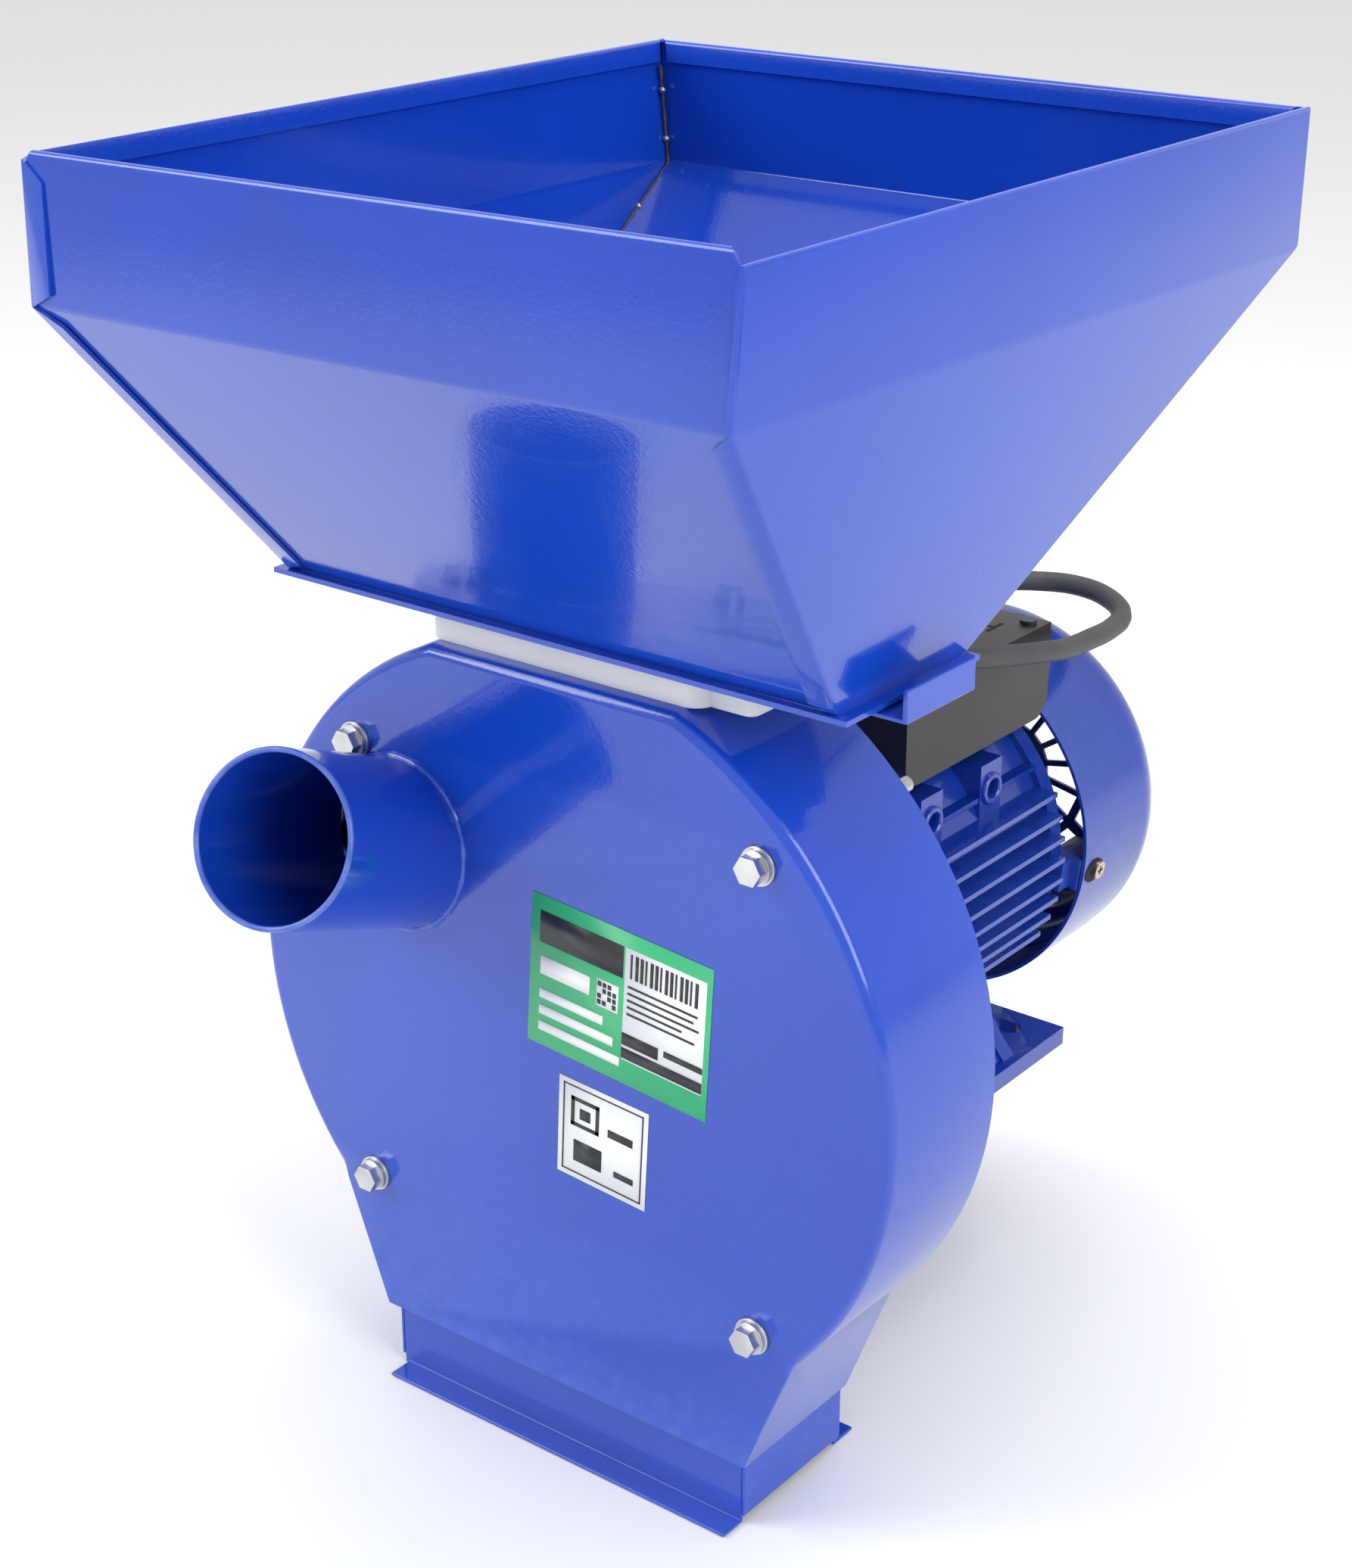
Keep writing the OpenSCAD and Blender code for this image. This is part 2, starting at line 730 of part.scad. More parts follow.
module stator_windings() {
    color("peru") on_shaft() for (y = [98, 212]) difference() {
        bar_y(58, y, y + 20);
        bar_y(41, y - over, y + 20 + over);
    }
}

// Outline of the fan cover in radius and Y, from its rim to its rounded end
module fan_cover_outline(inset) {
    r = fan_cover_r - inset;
    y1 = cover_y1 - inset;
    s = shoulder_r - inset;
    translate([0, cover_y0 - 2 * inset]) square([r, crease_y - cover_y0 + 2 * inset]);
    translate([0, crease_y - 1]) square([r - 0.6, y1 - s - crease_y + 1]);
    translate([0, y1 - s - 1]) square([r - 0.6 - s, s + 1]);
    intersection() {
        translate([r - 0.6 - s, y1 - s]) circle(s);
        translate([0, crease_y]) square(200);
    }
}

module fan_cover() {
    color("mediumblue") on_shaft() difference() {
        turned_y() difference() {
            fan_cover_outline(0);
            fan_cover_outline(fan_cover_t);
        }
        for (i = [0 : 15], ring = [[20, 37], [41, 57]]) rotate([0, i * 22.5, 0])
            plate_y(cover_y1 - 3, cover_y1 + over)
                polygon([[ring[0], -ring[0] * 0.13], [ring[1], -ring[1] * 0.16],
                    [ring[1], ring[1] * 0.16], [ring[0], ring[0] * 0.13]]);
        for (a = EARS) rotate([0, -a, 0]) translate([76, ear_y, 0]) rotate([0, 90, 0])
            cylinder(h = 12, r = 2.4);
    }
}

module fan_cover_screws() {
    color("khaki") on_shaft() for (a = EARS) rotate([0, -a, 0]) translate([0, ear_y, 0])
        rotate([0, 90, 0]) {
            translate([0, 0, 70.5]) cylinder(h = 12, r = 1.95);
            translate([0, 0, fan_cover_r]) cylinder(h = 2.2, r = 4);
        }
}

module flange_screws() {
    color("silver") on_shaft() for (a = QUARTERS) rotate([0, a, 0]) {
        bar_y(2.95, back_y0 - 4, flange_y + 8, flange_pcr);
        bar_y(5, back_y0 - 4, back_y0, flange_pcr);
    }
}

// ---------- box ----------

// Outline seen from the side, round at its lower corners
module box_side(y0, y1, z0, r) {
    translate([y0, z0 + r]) square([y1 - y0, seam_z + over - z0 - r]);
    translate([y0 + r, z0]) square([y1 - y0 - 2 * r, r + 1]);
    for (y = [y0 + r, y1 - r]) translate([y, z0 + r]) circle(r);
}

module box_base() {
    color("black") in_frame() difference() {
        intersection() {
            union() {
                difference() {
                    box3(-box_half_w, box_half_w, box_y0, box_y1, box_z0, seam_z);
                    plate_x(-box_half_w + box_t, box_half_w - box_t) box_side(box_y0 + box_t,
                        box_y1 - box_rear, box_z0 + box_t, box_corner - box_t);
                }
                intersection() {
                    bar_y(saddle_r + box_t, box_y0 + over, box_y1 - over, 0, shaft_rise);
                    box3(-box_half_w + over, box_half_w - over, box_y0, box_y1, box_z0, seam_z);
                }
                for (x = [-post_x, post_x], y = POST_Y) translate([x, y, box_z0 + over])
                    cylinder(h = seam_z - box_z0 - over, r = 5);
            }
            plate_x(-box_half_w, box_half_w) box_side(box_y0, box_y1, box_z0, box_corner);
        }
        bar_y(saddle_r, box_y0 - over, box_y1 + over, 0, shaft_rise);
        for (x = [-post_x, post_x], y = POST_Y) translate([x, y, seam_z - 12])
            cylinder(h = 14, r = lid_screw_r + 0.05);
        box3(-box_half_w - over, -box_half_w + 4, switch_y - 12.1, switch_y + 12.1,
            switch_z - 7.1, switch_z + 7.1);
        translate([-box_half_w - over, reset_y, switch_z]) rotate([0, 90, 0])
            cylinder(h = 6, r = reset_r + gap);
        bar_y(gland_r + 0.1, box_y1 - box_rear - over, box_y1 + over, gland_x, gland_z);
    }
}

module box_lid() {
    color("black") in_frame() difference() {
        box3(-box_half_w, box_half_w, box_y0, box_y1, seam_z, lid_z);
        box3(-box_half_w + box_t, box_half_w - box_t, box_y0 + box_t, box_y1 - box_t,
            seam_z - over, lid_z - box_t);
        for (x = [-post_x, post_x], y = POST_Y) translate([x, y, lid_z - 4])
            cylinder(h = 6, r = lid_screw_r + 0.2);
        bar_y(gland_r + 0.1, box_y1 - 4, box_y1 + over, gland_x, gland_z);
    }
}

module lid_screws() {
    color("silver") in_frame() for (x = [-post_x, post_x], y = POST_Y) translate([x, y, 0]) {
        translate([0, 0, lid_z]) cylinder(h = 1.6, r = 3.6);
        translate([0, 0, seam_z - 10]) cylinder(h = lid_z - seam_z + 10.5, r = lid_screw_r);
    }
}

// Run capacitor and start capacitor
module capacitors() {
    color("white") in_frame() {
        bar_y(16.2, 162, 243, 37, 85.9);
        bar_y(12.2, 165, 235, 0, 89.9);
    }
}

// Frame and body of the on-off switch, set into the left side of the box
module switch_body() {
    color("black") in_frame() translate([0, switch_y, switch_z]) difference() {
        union() {
            box3(-box_half_w - 1.8, -box_half_w, -14.2, 14.2, -9.3, 9.3);
            box3(-box_half_w - over, -box_half_w + 18, -12, 12, -7, 7);
        }
        box3(-box_half_w - 2.8, rocker_x + 6, -10.4, 10.4, -5.8, 5.8);
        translate([rocker_x, 0, -6.8]) cylinder(h = 13.6, r = rocker_pin_r + 0.05);
    }
}

// Rocker, tipped to its "off" side, with the pin that it turns on
module switch_rocker() {
    color("red") in_frame() translate([rocker_x, switch_y, switch_z]) rotate([0, 0, -rocker_tip]) {
        translate([0, 0, -5.4]) linear_extrude(height = 10.8)
            polygon([[-4.8, -9.3], [-3.5, 0], [-4.8, 9.3], [-1, 9.1], [4.4, 3], [4.4, -3],
                [-1, -9.1]]);
        translate([0, 0, -6.6]) cylinder(h = 13.2, r = rocker_pin_r);
    }
}

// Plunger with a collar behind the wall of the box
module reset_button() {
    color("black") in_frame() translate([-box_half_w, reset_y, switch_z]) rotate([0, 90, 0]) {
        translate([0, 0, -4]) cylinder(h = 13, r = reset_r);
        translate([0, 0, box_t + 0.1]) cylinder(h = 1.5, r = reset_r + 1.5);
    }
}

// Rubber sleeve, clamped between base and lid, that tapers along the lead
module strain_relief() {
    color("black") in_frame() translate([gland_x, 0, gland_z]) rotate([-90, 0, 0]) {
        translate([0, 0, box_y1 - 5]) cylinder(h = 6, r = gland_r);
        translate([0, 0, box_y1]) cylinder(h = relief_len, r1 = 7.4, r2 = cord_d / 2 + 0.7);
    }
}

// ---------- mains lead ----------

function unit(v) = v / norm(v);
function tangent(p, i) = unit(p[min(i + 1, len(p) - 1)] - p[max(i - 1, 0)]);
function side_of(t) = unit(cross(t, [0.3, 0.1, 0.95]));

// Closed tube through the points of a route, with one ring at each point
module tube(p, r, sides) {
    n = len(p);
    rings = [for (i = [0 : n - 1]) let (t = tangent(p, i), u = side_of(t), v = cross(t, u))
        for (k = [0 : sides - 1]) p[i] + r * (cos(k * 360 / sides) * u + sin(k * 360 / sides) * v)];
    walls = [for (i = [0 : n - 2], k = [0 : sides - 1]) let (k2 = (k + 1) % sides)
        [i * sides + k, i * sides + k2, (i + 1) * sides + k2, (i + 1) * sides + k]];
    caps = [[for (k = [sides - 1 : -1 : 0]) k], [for (k = [0 : sides - 1]) (n - 1) * sides + k]];
    polyhedron(rings, concat(walls, caps));
}

module mains_cord() {
    color("dimgray") in_frame() {
        tube(CORD, cord_d / 2, 10);
        tube(TAIL, cord_d / 2, 10);
    }
}

// Outer shape of the coiled length
module cord_coil() {
    color("dimgray") in_frame() translate([coil_x, coil_y, coil_z]) rotate_extrude()
        translate([coil_in, 0]) square([coil_w, coil_w]);
}

module cord_tie() {
    half = coil_w / 2;
    color("black") in_frame() translate([coil_x, coil_y + coil_in + half, coil_z])
        difference() {
            box3(-3, 3, -half - 1, half + 1, -1, coil_w + 1);
            box3(-4, 4, -half - 0.1, half + 0.1, -0.1, coil_w + 0.1);
        }
}

// Two-pin plug lying on its side, its lead coming in from the front
module plug() {
    color("black") in_frame() translate(PLUG) rotate([-90, 0, 0]) {
        cylinder(h = 15, r1 = 5.4, r2 = 8);
        translate([0, 0, 14]) cylinder(h = 16, r1 = 9, r2 = plug_r);
        translate([0, 0, 29.9]) cylinder(h = 18.1, r = plug_r);
        for (x = [-9.5, 9.5]) translate([x, 0, 47]) cylinder(h = 20, r = 2.4);
    }
}

hopper_front();
hopper_back();
hopper_left();
hopper_right();
hopper_base();
feed_slide();
feed_throat();
hopper_screws();
front_cover();
feed_pipe();
back_plate();
cover_bolts();
cover_washers();
cover_nuts();
cover_spacers();
chute_sheet(chute_front_y, chute_front_y - lip + 1);  // chute_front
chute_sheet(chute_back_y, chute_back_y + lip + 1);  // chute_back
chute_sides();
screen();
screen_rails();
rotor_hub();
rotor_discs();
hammer_pins();
pin_spacers();
hammer(0);  // hammer_1
hammer(1);  // hammer_2
hammer(2);  // hammer_3
hammer(3);  // hammer_4
hammer(4);  // hammer_5
hammer(5);  // hammer_6
hammer(6);  // hammer_7
hammer(7);  // hammer_8
hub_bolt();
shaft_key();
motor_shaft();
rotor_core();
bearing(bearing1_y);  // front_bearing
bearing(bearing2_y);  // rear_bearing
cooling_fan();
motor_frame();
front_shield();
rear_shield();
motor_feet();
stator_core();
stator_windings();
fan_cover();
fan_cover_screws();
flange_screws();
box_base();
box_lid();
lid_screws();
capacitors();
switch_body();
switch_rocker();
reset_button();
strain_relief();
mains_cord();
cord_coil();
cord_tie();
plug();
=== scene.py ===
# %% [markdown]
# # A small hammer mill, dressed for a portrait
# The mill is already a precise CAD model: a round steel housing with hammers inside, a hopper on
# top, a motor behind and a switch box on the motor. Here it gets its finishes, its rounded
# edges, its bent sheet-metal hopper, its labels and its rubber lead. Nothing that the CAD fixes
# is moved: a piece either keeps its CAD shape and gets a material, or is replaced in its place.

# %% Load the CAD model
import bpy
import bmesh
import json
import math
from mathutils import Matrix, Vector
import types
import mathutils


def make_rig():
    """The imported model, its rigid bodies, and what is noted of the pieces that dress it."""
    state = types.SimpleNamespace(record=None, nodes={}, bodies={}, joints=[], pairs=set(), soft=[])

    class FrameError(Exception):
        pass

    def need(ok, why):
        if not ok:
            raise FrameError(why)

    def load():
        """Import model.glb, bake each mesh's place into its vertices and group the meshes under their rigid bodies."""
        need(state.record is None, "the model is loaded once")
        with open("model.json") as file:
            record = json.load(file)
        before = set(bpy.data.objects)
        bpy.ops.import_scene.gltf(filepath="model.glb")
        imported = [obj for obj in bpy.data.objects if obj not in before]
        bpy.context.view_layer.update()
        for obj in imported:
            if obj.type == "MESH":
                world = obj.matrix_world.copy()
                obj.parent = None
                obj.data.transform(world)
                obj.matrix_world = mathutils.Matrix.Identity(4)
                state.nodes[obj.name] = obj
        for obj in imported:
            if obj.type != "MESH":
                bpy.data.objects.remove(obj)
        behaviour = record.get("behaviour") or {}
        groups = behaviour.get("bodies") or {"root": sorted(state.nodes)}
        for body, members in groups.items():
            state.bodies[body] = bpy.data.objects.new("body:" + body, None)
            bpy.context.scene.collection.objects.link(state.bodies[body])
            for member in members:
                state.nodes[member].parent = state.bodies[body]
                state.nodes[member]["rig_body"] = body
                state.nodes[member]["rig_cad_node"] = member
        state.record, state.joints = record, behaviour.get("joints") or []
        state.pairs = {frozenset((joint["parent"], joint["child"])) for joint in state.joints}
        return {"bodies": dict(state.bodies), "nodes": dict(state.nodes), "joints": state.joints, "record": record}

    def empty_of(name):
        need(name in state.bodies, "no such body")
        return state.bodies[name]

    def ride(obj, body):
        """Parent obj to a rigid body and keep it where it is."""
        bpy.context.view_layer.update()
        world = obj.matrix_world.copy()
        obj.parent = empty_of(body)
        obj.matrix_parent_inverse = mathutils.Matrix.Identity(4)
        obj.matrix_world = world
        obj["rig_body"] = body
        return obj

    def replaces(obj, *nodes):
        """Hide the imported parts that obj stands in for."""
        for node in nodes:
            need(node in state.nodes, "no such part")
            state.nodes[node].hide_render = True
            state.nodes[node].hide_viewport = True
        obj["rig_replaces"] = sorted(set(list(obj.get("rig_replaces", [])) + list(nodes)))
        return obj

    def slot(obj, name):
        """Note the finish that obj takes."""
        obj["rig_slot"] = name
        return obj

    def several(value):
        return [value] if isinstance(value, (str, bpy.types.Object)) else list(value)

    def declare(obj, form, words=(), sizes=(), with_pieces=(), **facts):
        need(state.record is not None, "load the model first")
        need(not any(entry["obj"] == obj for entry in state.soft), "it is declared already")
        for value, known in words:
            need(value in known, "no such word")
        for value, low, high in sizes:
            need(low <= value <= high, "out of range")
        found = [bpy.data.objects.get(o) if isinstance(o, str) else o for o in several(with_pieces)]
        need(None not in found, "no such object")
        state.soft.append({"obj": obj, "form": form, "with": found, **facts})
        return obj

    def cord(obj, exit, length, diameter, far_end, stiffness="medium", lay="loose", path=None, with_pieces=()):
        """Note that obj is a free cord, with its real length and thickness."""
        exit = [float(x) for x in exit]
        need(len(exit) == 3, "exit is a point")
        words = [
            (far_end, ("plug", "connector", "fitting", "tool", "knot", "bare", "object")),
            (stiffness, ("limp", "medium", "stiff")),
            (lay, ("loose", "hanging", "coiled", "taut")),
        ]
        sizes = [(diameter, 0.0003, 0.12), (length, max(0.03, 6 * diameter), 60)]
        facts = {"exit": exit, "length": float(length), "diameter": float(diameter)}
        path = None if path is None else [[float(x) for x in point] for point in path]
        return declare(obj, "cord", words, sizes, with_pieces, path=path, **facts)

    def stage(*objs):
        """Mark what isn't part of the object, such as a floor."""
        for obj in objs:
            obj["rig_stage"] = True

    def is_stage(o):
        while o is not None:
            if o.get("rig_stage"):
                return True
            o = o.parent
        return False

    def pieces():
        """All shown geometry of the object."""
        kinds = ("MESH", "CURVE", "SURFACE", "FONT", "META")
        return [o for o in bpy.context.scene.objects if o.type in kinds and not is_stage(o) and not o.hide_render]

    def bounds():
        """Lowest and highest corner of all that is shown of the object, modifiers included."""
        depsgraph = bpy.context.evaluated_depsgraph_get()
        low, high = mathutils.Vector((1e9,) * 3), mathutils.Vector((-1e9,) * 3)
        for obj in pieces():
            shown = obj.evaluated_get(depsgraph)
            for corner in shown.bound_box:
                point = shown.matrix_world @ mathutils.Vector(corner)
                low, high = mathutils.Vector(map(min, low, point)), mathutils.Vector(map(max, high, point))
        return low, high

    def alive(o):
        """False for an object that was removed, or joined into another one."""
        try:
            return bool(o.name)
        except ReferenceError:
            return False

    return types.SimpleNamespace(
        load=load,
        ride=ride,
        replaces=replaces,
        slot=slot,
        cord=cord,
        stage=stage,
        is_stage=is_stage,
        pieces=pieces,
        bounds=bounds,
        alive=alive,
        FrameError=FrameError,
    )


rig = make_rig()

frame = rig.load()
cad_box = [list(corner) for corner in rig.bounds()]
print("nodes:", len(frame["nodes"]), "CAD box:", cad_box)

# %% [markdown]
# ## Where things are
# Drawings of a mill are in millimetres from the front of its housing. `at` turns such a
# position into the model's metres, so that every measure below can be read off a drawing.

# %% From drawing millimetres to the model
def at(x, y, z):
    return Vector((x / 1000, (y - 178) / 1000, (z + 80) / 1000))


MM = 0.001
print("cover bolt:", at(95.5, 0, 95.5))

# %% [markdown]
# ## Camera and floor
# A long lens from a little above and to the right shows the cover, the hopper and the motor at
# once without stretching them. The floor is a plain pale sheet under the outlet of the mill.

# %% Camera
lens = bpy.data.cameras.new("portrait_lens")
lens.lens = 72.92
lens.sensor_fit = "HORIZONTAL"
lens.sensor_width = 36
camera = bpy.data.objects.new("portrait_camera", lens)
bpy.context.scene.collection.objects.link(camera)
camera.location = (0.59735, -0.87233, 0.56474)
aim = Vector((0.05936, -0.178, 0.19652)) - camera.location
camera.rotation_euler = aim.to_track_quat("-Z", "Y").to_euler()
bpy.context.scene.camera = camera
print("camera looks along", aim.normalized())

# %% [markdown]
# ## The lead
# A mains lead is one fixed length of rubber cable. It leaves the box through a sleeve, makes a
# loop over the lid, runs down beside the motor and is put away in a coil of four turns held by
# a tie. A curve is the natural tool: its points are the route and its thickness the cable.

# %% Route of the lead
from_box = [(-4, 288, 96.5), (-4, 292, 96.5), (1, 310, 96.5), (14, 323, 96), (32, 328, 96),
    (50, 323, 95), (63, 310, 94), (68, 292, 94), (69, 272, 95), (70, 252, 97), (70, 232, 101),
    (69, 209, 106), (64, 187, 110), (51, 174, 111), (33, 169, 111), (12, 168, 110),
    (-10, 168, 110), (-32, 168, 110), (-56, 168, 110), (-74, 168, 105), (-87, 168, 92),
    (-92, 168, 74), (-92, 168, 50), (-92, 168, 26), (-92, 168, 2), (-92, 168, -22),
    (-92, 168, -46), (-92, 168, -70), (-92, 168, -94), (-92, 168, -116), (-92, 168, -136.5),
    (-92, 173, -154.5), (-92, 186, -167.5), (-92, 198, -172)]
to_plug = [(-100, 216, -181), (-97, 229, -177), (-93.5, 242, -171), (-92, 255, -168.5)]


def eased(turn, start, end):
    t = min(max((turn - start) / (end - start), 0), 1)
    return t * t * (3 - 2 * t)


def coil_point(turn):
    out = 54.5 - 9 * eased(turn, 300, 360) + 9 * eased(turn, 900, 960) + 9 * eased(turn, 1200, 1260)
    angle = math.radians(180 - turn)
    height = -172.5 - 9 * eased(turn, 600, 660)
    return (-37.5 + out * math.cos(angle), 204 + out * math.sin(angle), height)


coil = [coil_point(turn) for turn in range(0, 1441, 15)]
route = [at(*p) for p in from_box + coil + to_plug]
print("points on the route:", len(route))

# %% [markdown]
# A Bezier curve with automatic handles runs smoothly through every point of the route, and
# `bevel_depth` gives it the radius of the cable.

# %% The lead as a curve
lead_curve = bpy.data.curves.new("lead", "CURVE")
lead_curve.dimensions = "3D"
lead_curve.bevel_depth = 4.5 * MM
lead_curve.bevel_resolution = 4
lead_curve.resolution_u = 5
lead_curve.use_fill_caps = True
spline = lead_curve.splines.new("BEZIER")
spline.bezier_points.add(len(route) - 1)
for point, place in zip(spline.bezier_points, route):
    point.co = place
    point.handle_left_type = "AUTO"
    point.handle_right_type = "AUTO"
lead = bpy.data.objects.new("lead", lead_curve)
bpy.context.scene.collection.objects.link(lead)
lead_length = sum((b - a).length for a, b in zip(route, route[1:]))
print("length of the lead:", round(lead_length, 3))

# %% [markdown]
# ## Shared effects for the finishes
# Every real surface has some unevenness: paint flows into a fine orange peel, plastic has a
# moulded grain, colour is never quite even, and edges catch more wear. Each effect is a node
# group with named inputs, built once and used in many materials with other values.

# %% A helper that starts a node group
def start_group(name, inputs, outputs):
    group = bpy.data.node_groups.new(name, "ShaderNodeTree")
    for socket, kind, value in inputs:
        made = group.interface.new_socket(socket, in_out="INPUT", socket_type=kind)
        made.default_value = value
    for socket, kind in outputs:
        group.interface.new_socket(socket, in_out="OUTPUT", socket_type=kind)
    nodes = group.nodes
    return group, nodes, group.links, nodes.new("NodeGroupInput"), nodes.new("NodeGroupOutput")


def add(nodes, kind, **values):
    node = nodes.new(kind)
    for key, value in values.items():
        if hasattr(node, key):
            setattr(node, key, value)
        else:
            node.inputs[key.replace("_", " ")].default_value = value
    return node


def mix_colours(nodes, links, amount, first, second):
    # A Mix node has sockets for each kind of value; 6 and 7 are its colours, 2 its result
    mix = nodes.new("ShaderNodeMix")
    mix.data_type = "RGBA"
    links.new(amount, mix.inputs[0])
    links.new(first, mix.inputs[6])
    links.new(second, mix.inputs[7])
    return mix.outputs[2]


def from_to(node, low, high):
    node.inputs["From Min"].default_value = low
    node.inputs["From Max"].default_value = high
    return node


print("node groups so far:", len(bpy.data.node_groups))

# %% [markdown]
# **Fine relief** is a noise turned into a tiny bump. Its size is how many grains there are per
# metre, and its depth is in metres, so orange peel is a few hundredths of a millimetre deep.

# %% Fine relief
relief, nodes, links, given, result = start_group("fine_relief",
    [("Size", "NodeSocketFloat", 400.0), ("Depth", "NodeSocketFloat", 0.00003),
     ("Detail", "NodeSocketFloat", 2.0)], [("Normal", "NodeSocketVector")])
place = add(nodes, "ShaderNodeTexCoord")
noise = add(nodes, "ShaderNodeTexNoise")
bump = add(nodes, "ShaderNodeBump")
links.new(place.outputs["Object"], noise.inputs["Vector"])
links.new(given.outputs["Size"], noise.inputs["Scale"])
links.new(given.outputs["Detail"], noise.inputs["Detail"])
links.new(noise.outputs["Fac"], bump.inputs["Height"])
links.new(given.outputs["Depth"], bump.inputs["Distance"])
links.new(bump.outputs["Normal"], result.inputs["Normal"])
print("made", relief.name)

# %% [markdown]
# **Uneven colour** mixes the given colour with a darker and a lighter one by a broad noise and
# a fine speckle, the way pigment and light scatter in a thick coat.

# %% Uneven colour
uneven, nodes, links, given, result = start_group("uneven_colour",
    [("Color", "NodeSocketColor", (0.5, 0.5, 0.5, 1)), ("Second Color", "NodeSocketColor",
     (0.3, 0.3, 0.3, 1)), ("Size", "NodeSocketFloat", 12.0), ("Amount", "NodeSocketFloat", 0.3),
     ("Speckle Size", "NodeSocketFloat", 1500.0), ("Speckle", "NodeSocketFloat", 0.1)],
    [("Color", "NodeSocketColor")])
place = add(nodes, "ShaderNodeTexCoord")
broad = add(nodes, "ShaderNodeTexNoise", Detail=3.0)
fine = add(nodes, "ShaderNodeTexNoise", Detail=1.0)
steps = from_to(add(nodes, "ShaderNodeMapRange"), 0.35, 0.65)
spots = from_to(add(nodes, "ShaderNodeMapRange"), 0.55, 0.75)
scaled = add(nodes, "ShaderNodeMath", operation="MULTIPLY")
dotted = add(nodes, "ShaderNodeMath", operation="MULTIPLY")
links.new(place.outputs["Object"], broad.inputs["Vector"])
links.new(place.outputs["Object"], fine.inputs["Vector"])
links.new(given.outputs["Size"], broad.inputs["Scale"])
links.new(given.outputs["Speckle Size"], fine.inputs["Scale"])
links.new(broad.outputs["Fac"], steps.inputs["Value"])
links.new(fine.outputs["Fac"], spots.inputs["Value"])
links.new(steps.outputs["Result"], scaled.inputs[0])
links.new(given.outputs["Amount"], scaled.inputs[1])
links.new(spots.outputs["Result"], dotted.inputs[0])
links.new(given.outputs["Speckle"], dotted.inputs[1])
clouded = mix_colours(nodes, links, scaled.outputs["Value"], given.outputs["Color"],
    given.outputs["Second Color"])
speckled = mix_colours(nodes, links, dotted.outputs["Value"], clouded,
    given.outputs["Second Color"])
links.new(speckled, result.inputs["Color"])
print("made", uneven.name)

# %% [markdown]
# **Uneven gloss** gives a roughness that drifts a little between two values, as handling and
# curing leave it.

# %% Uneven gloss
gloss, nodes, links, given, result = start_group("uneven_gloss",
    [("Size", "NodeSocketFloat", 15.0), ("Low", "NodeSocketFloat", 0.2),
     ("High", "NodeSocketFloat", 0.3)], [("Roughness", "NodeSocketFloat")])
place = add(nodes, "ShaderNodeTexCoord")
noise = add(nodes, "ShaderNodeTexNoise", Detail=4.0)
span = from_to(add(nodes, "ShaderNodeMapRange"), 0.3, 0.7)
links.new(place.outputs["Object"], noise.inputs["Vector"])
links.new(given.outputs["Size"], noise.inputs["Scale"])
links.new(noise.outputs["Fac"], span.inputs["Value"])
links.new(given.outputs["Low"], span.inputs["To Min"])
links.new(given.outputs["High"], span.inputs["To Max"])
links.new(span.outputs["Result"], result.inputs["Roughness"])
print("made", gloss.name)

# %% [markdown]
# **Worn edges** shows where a surface bends outwards, broken up by noise, so that corners can
# be a little brighter or barer than the faces between them.

# %% Worn edges
worn, nodes, links, given, result = start_group("worn_edges",
    [("Color", "NodeSocketColor", (0.5, 0.5, 0.5, 1)), ("Edge Color", "NodeSocketColor",
     (0.8, 0.8, 0.8, 1)), ("Amount", "NodeSocketFloat", 0.3)], [("Color", "NodeSocketColor")])
shape = add(nodes, "ShaderNodeNewGeometry")
place = add(nodes, "ShaderNodeTexCoord")
noise = add(nodes, "ShaderNodeTexNoise", Scale=160.0, Detail=3.0)
edge = from_to(add(nodes, "ShaderNodeMapRange"), 0.54, 0.64)
broken = add(nodes, "ShaderNodeMath", operation="MULTIPLY")
amount = add(nodes, "ShaderNodeMath", operation="MULTIPLY")
links.new(shape.outputs["Pointiness"], edge.inputs["Value"])
links.new(place.outputs["Object"], noise.inputs["Vector"])
links.new(edge.outputs["Result"], broken.inputs[0])
links.new(noise.outputs["Fac"], broken.inputs[1])
links.new(broken.outputs["Value"], amount.inputs[0])
links.new(given.outputs["Amount"], amount.inputs[1])
worn_colour = mix_colours(nodes, links, amount.outputs["Value"], given.outputs["Color"],
    given.outputs["Edge Color"])
links.new(worn_colour, result.inputs["Color"])
print("made", worn.name)

# %% [markdown]
# ## The finishes
# One helper wires the four effects to a Principled shader. What stays the same all over a
# surface, such as metalness or the clear coat, is set on the shader itself.

# %% A helper that makes a finish
def use(nodes, group, **values):
    node = nodes.new("ShaderNodeGroup")
    node.node_tree = group
    for key, value in values.items():
        node.inputs[key.replace("_", " ")].default_value = value
    return node


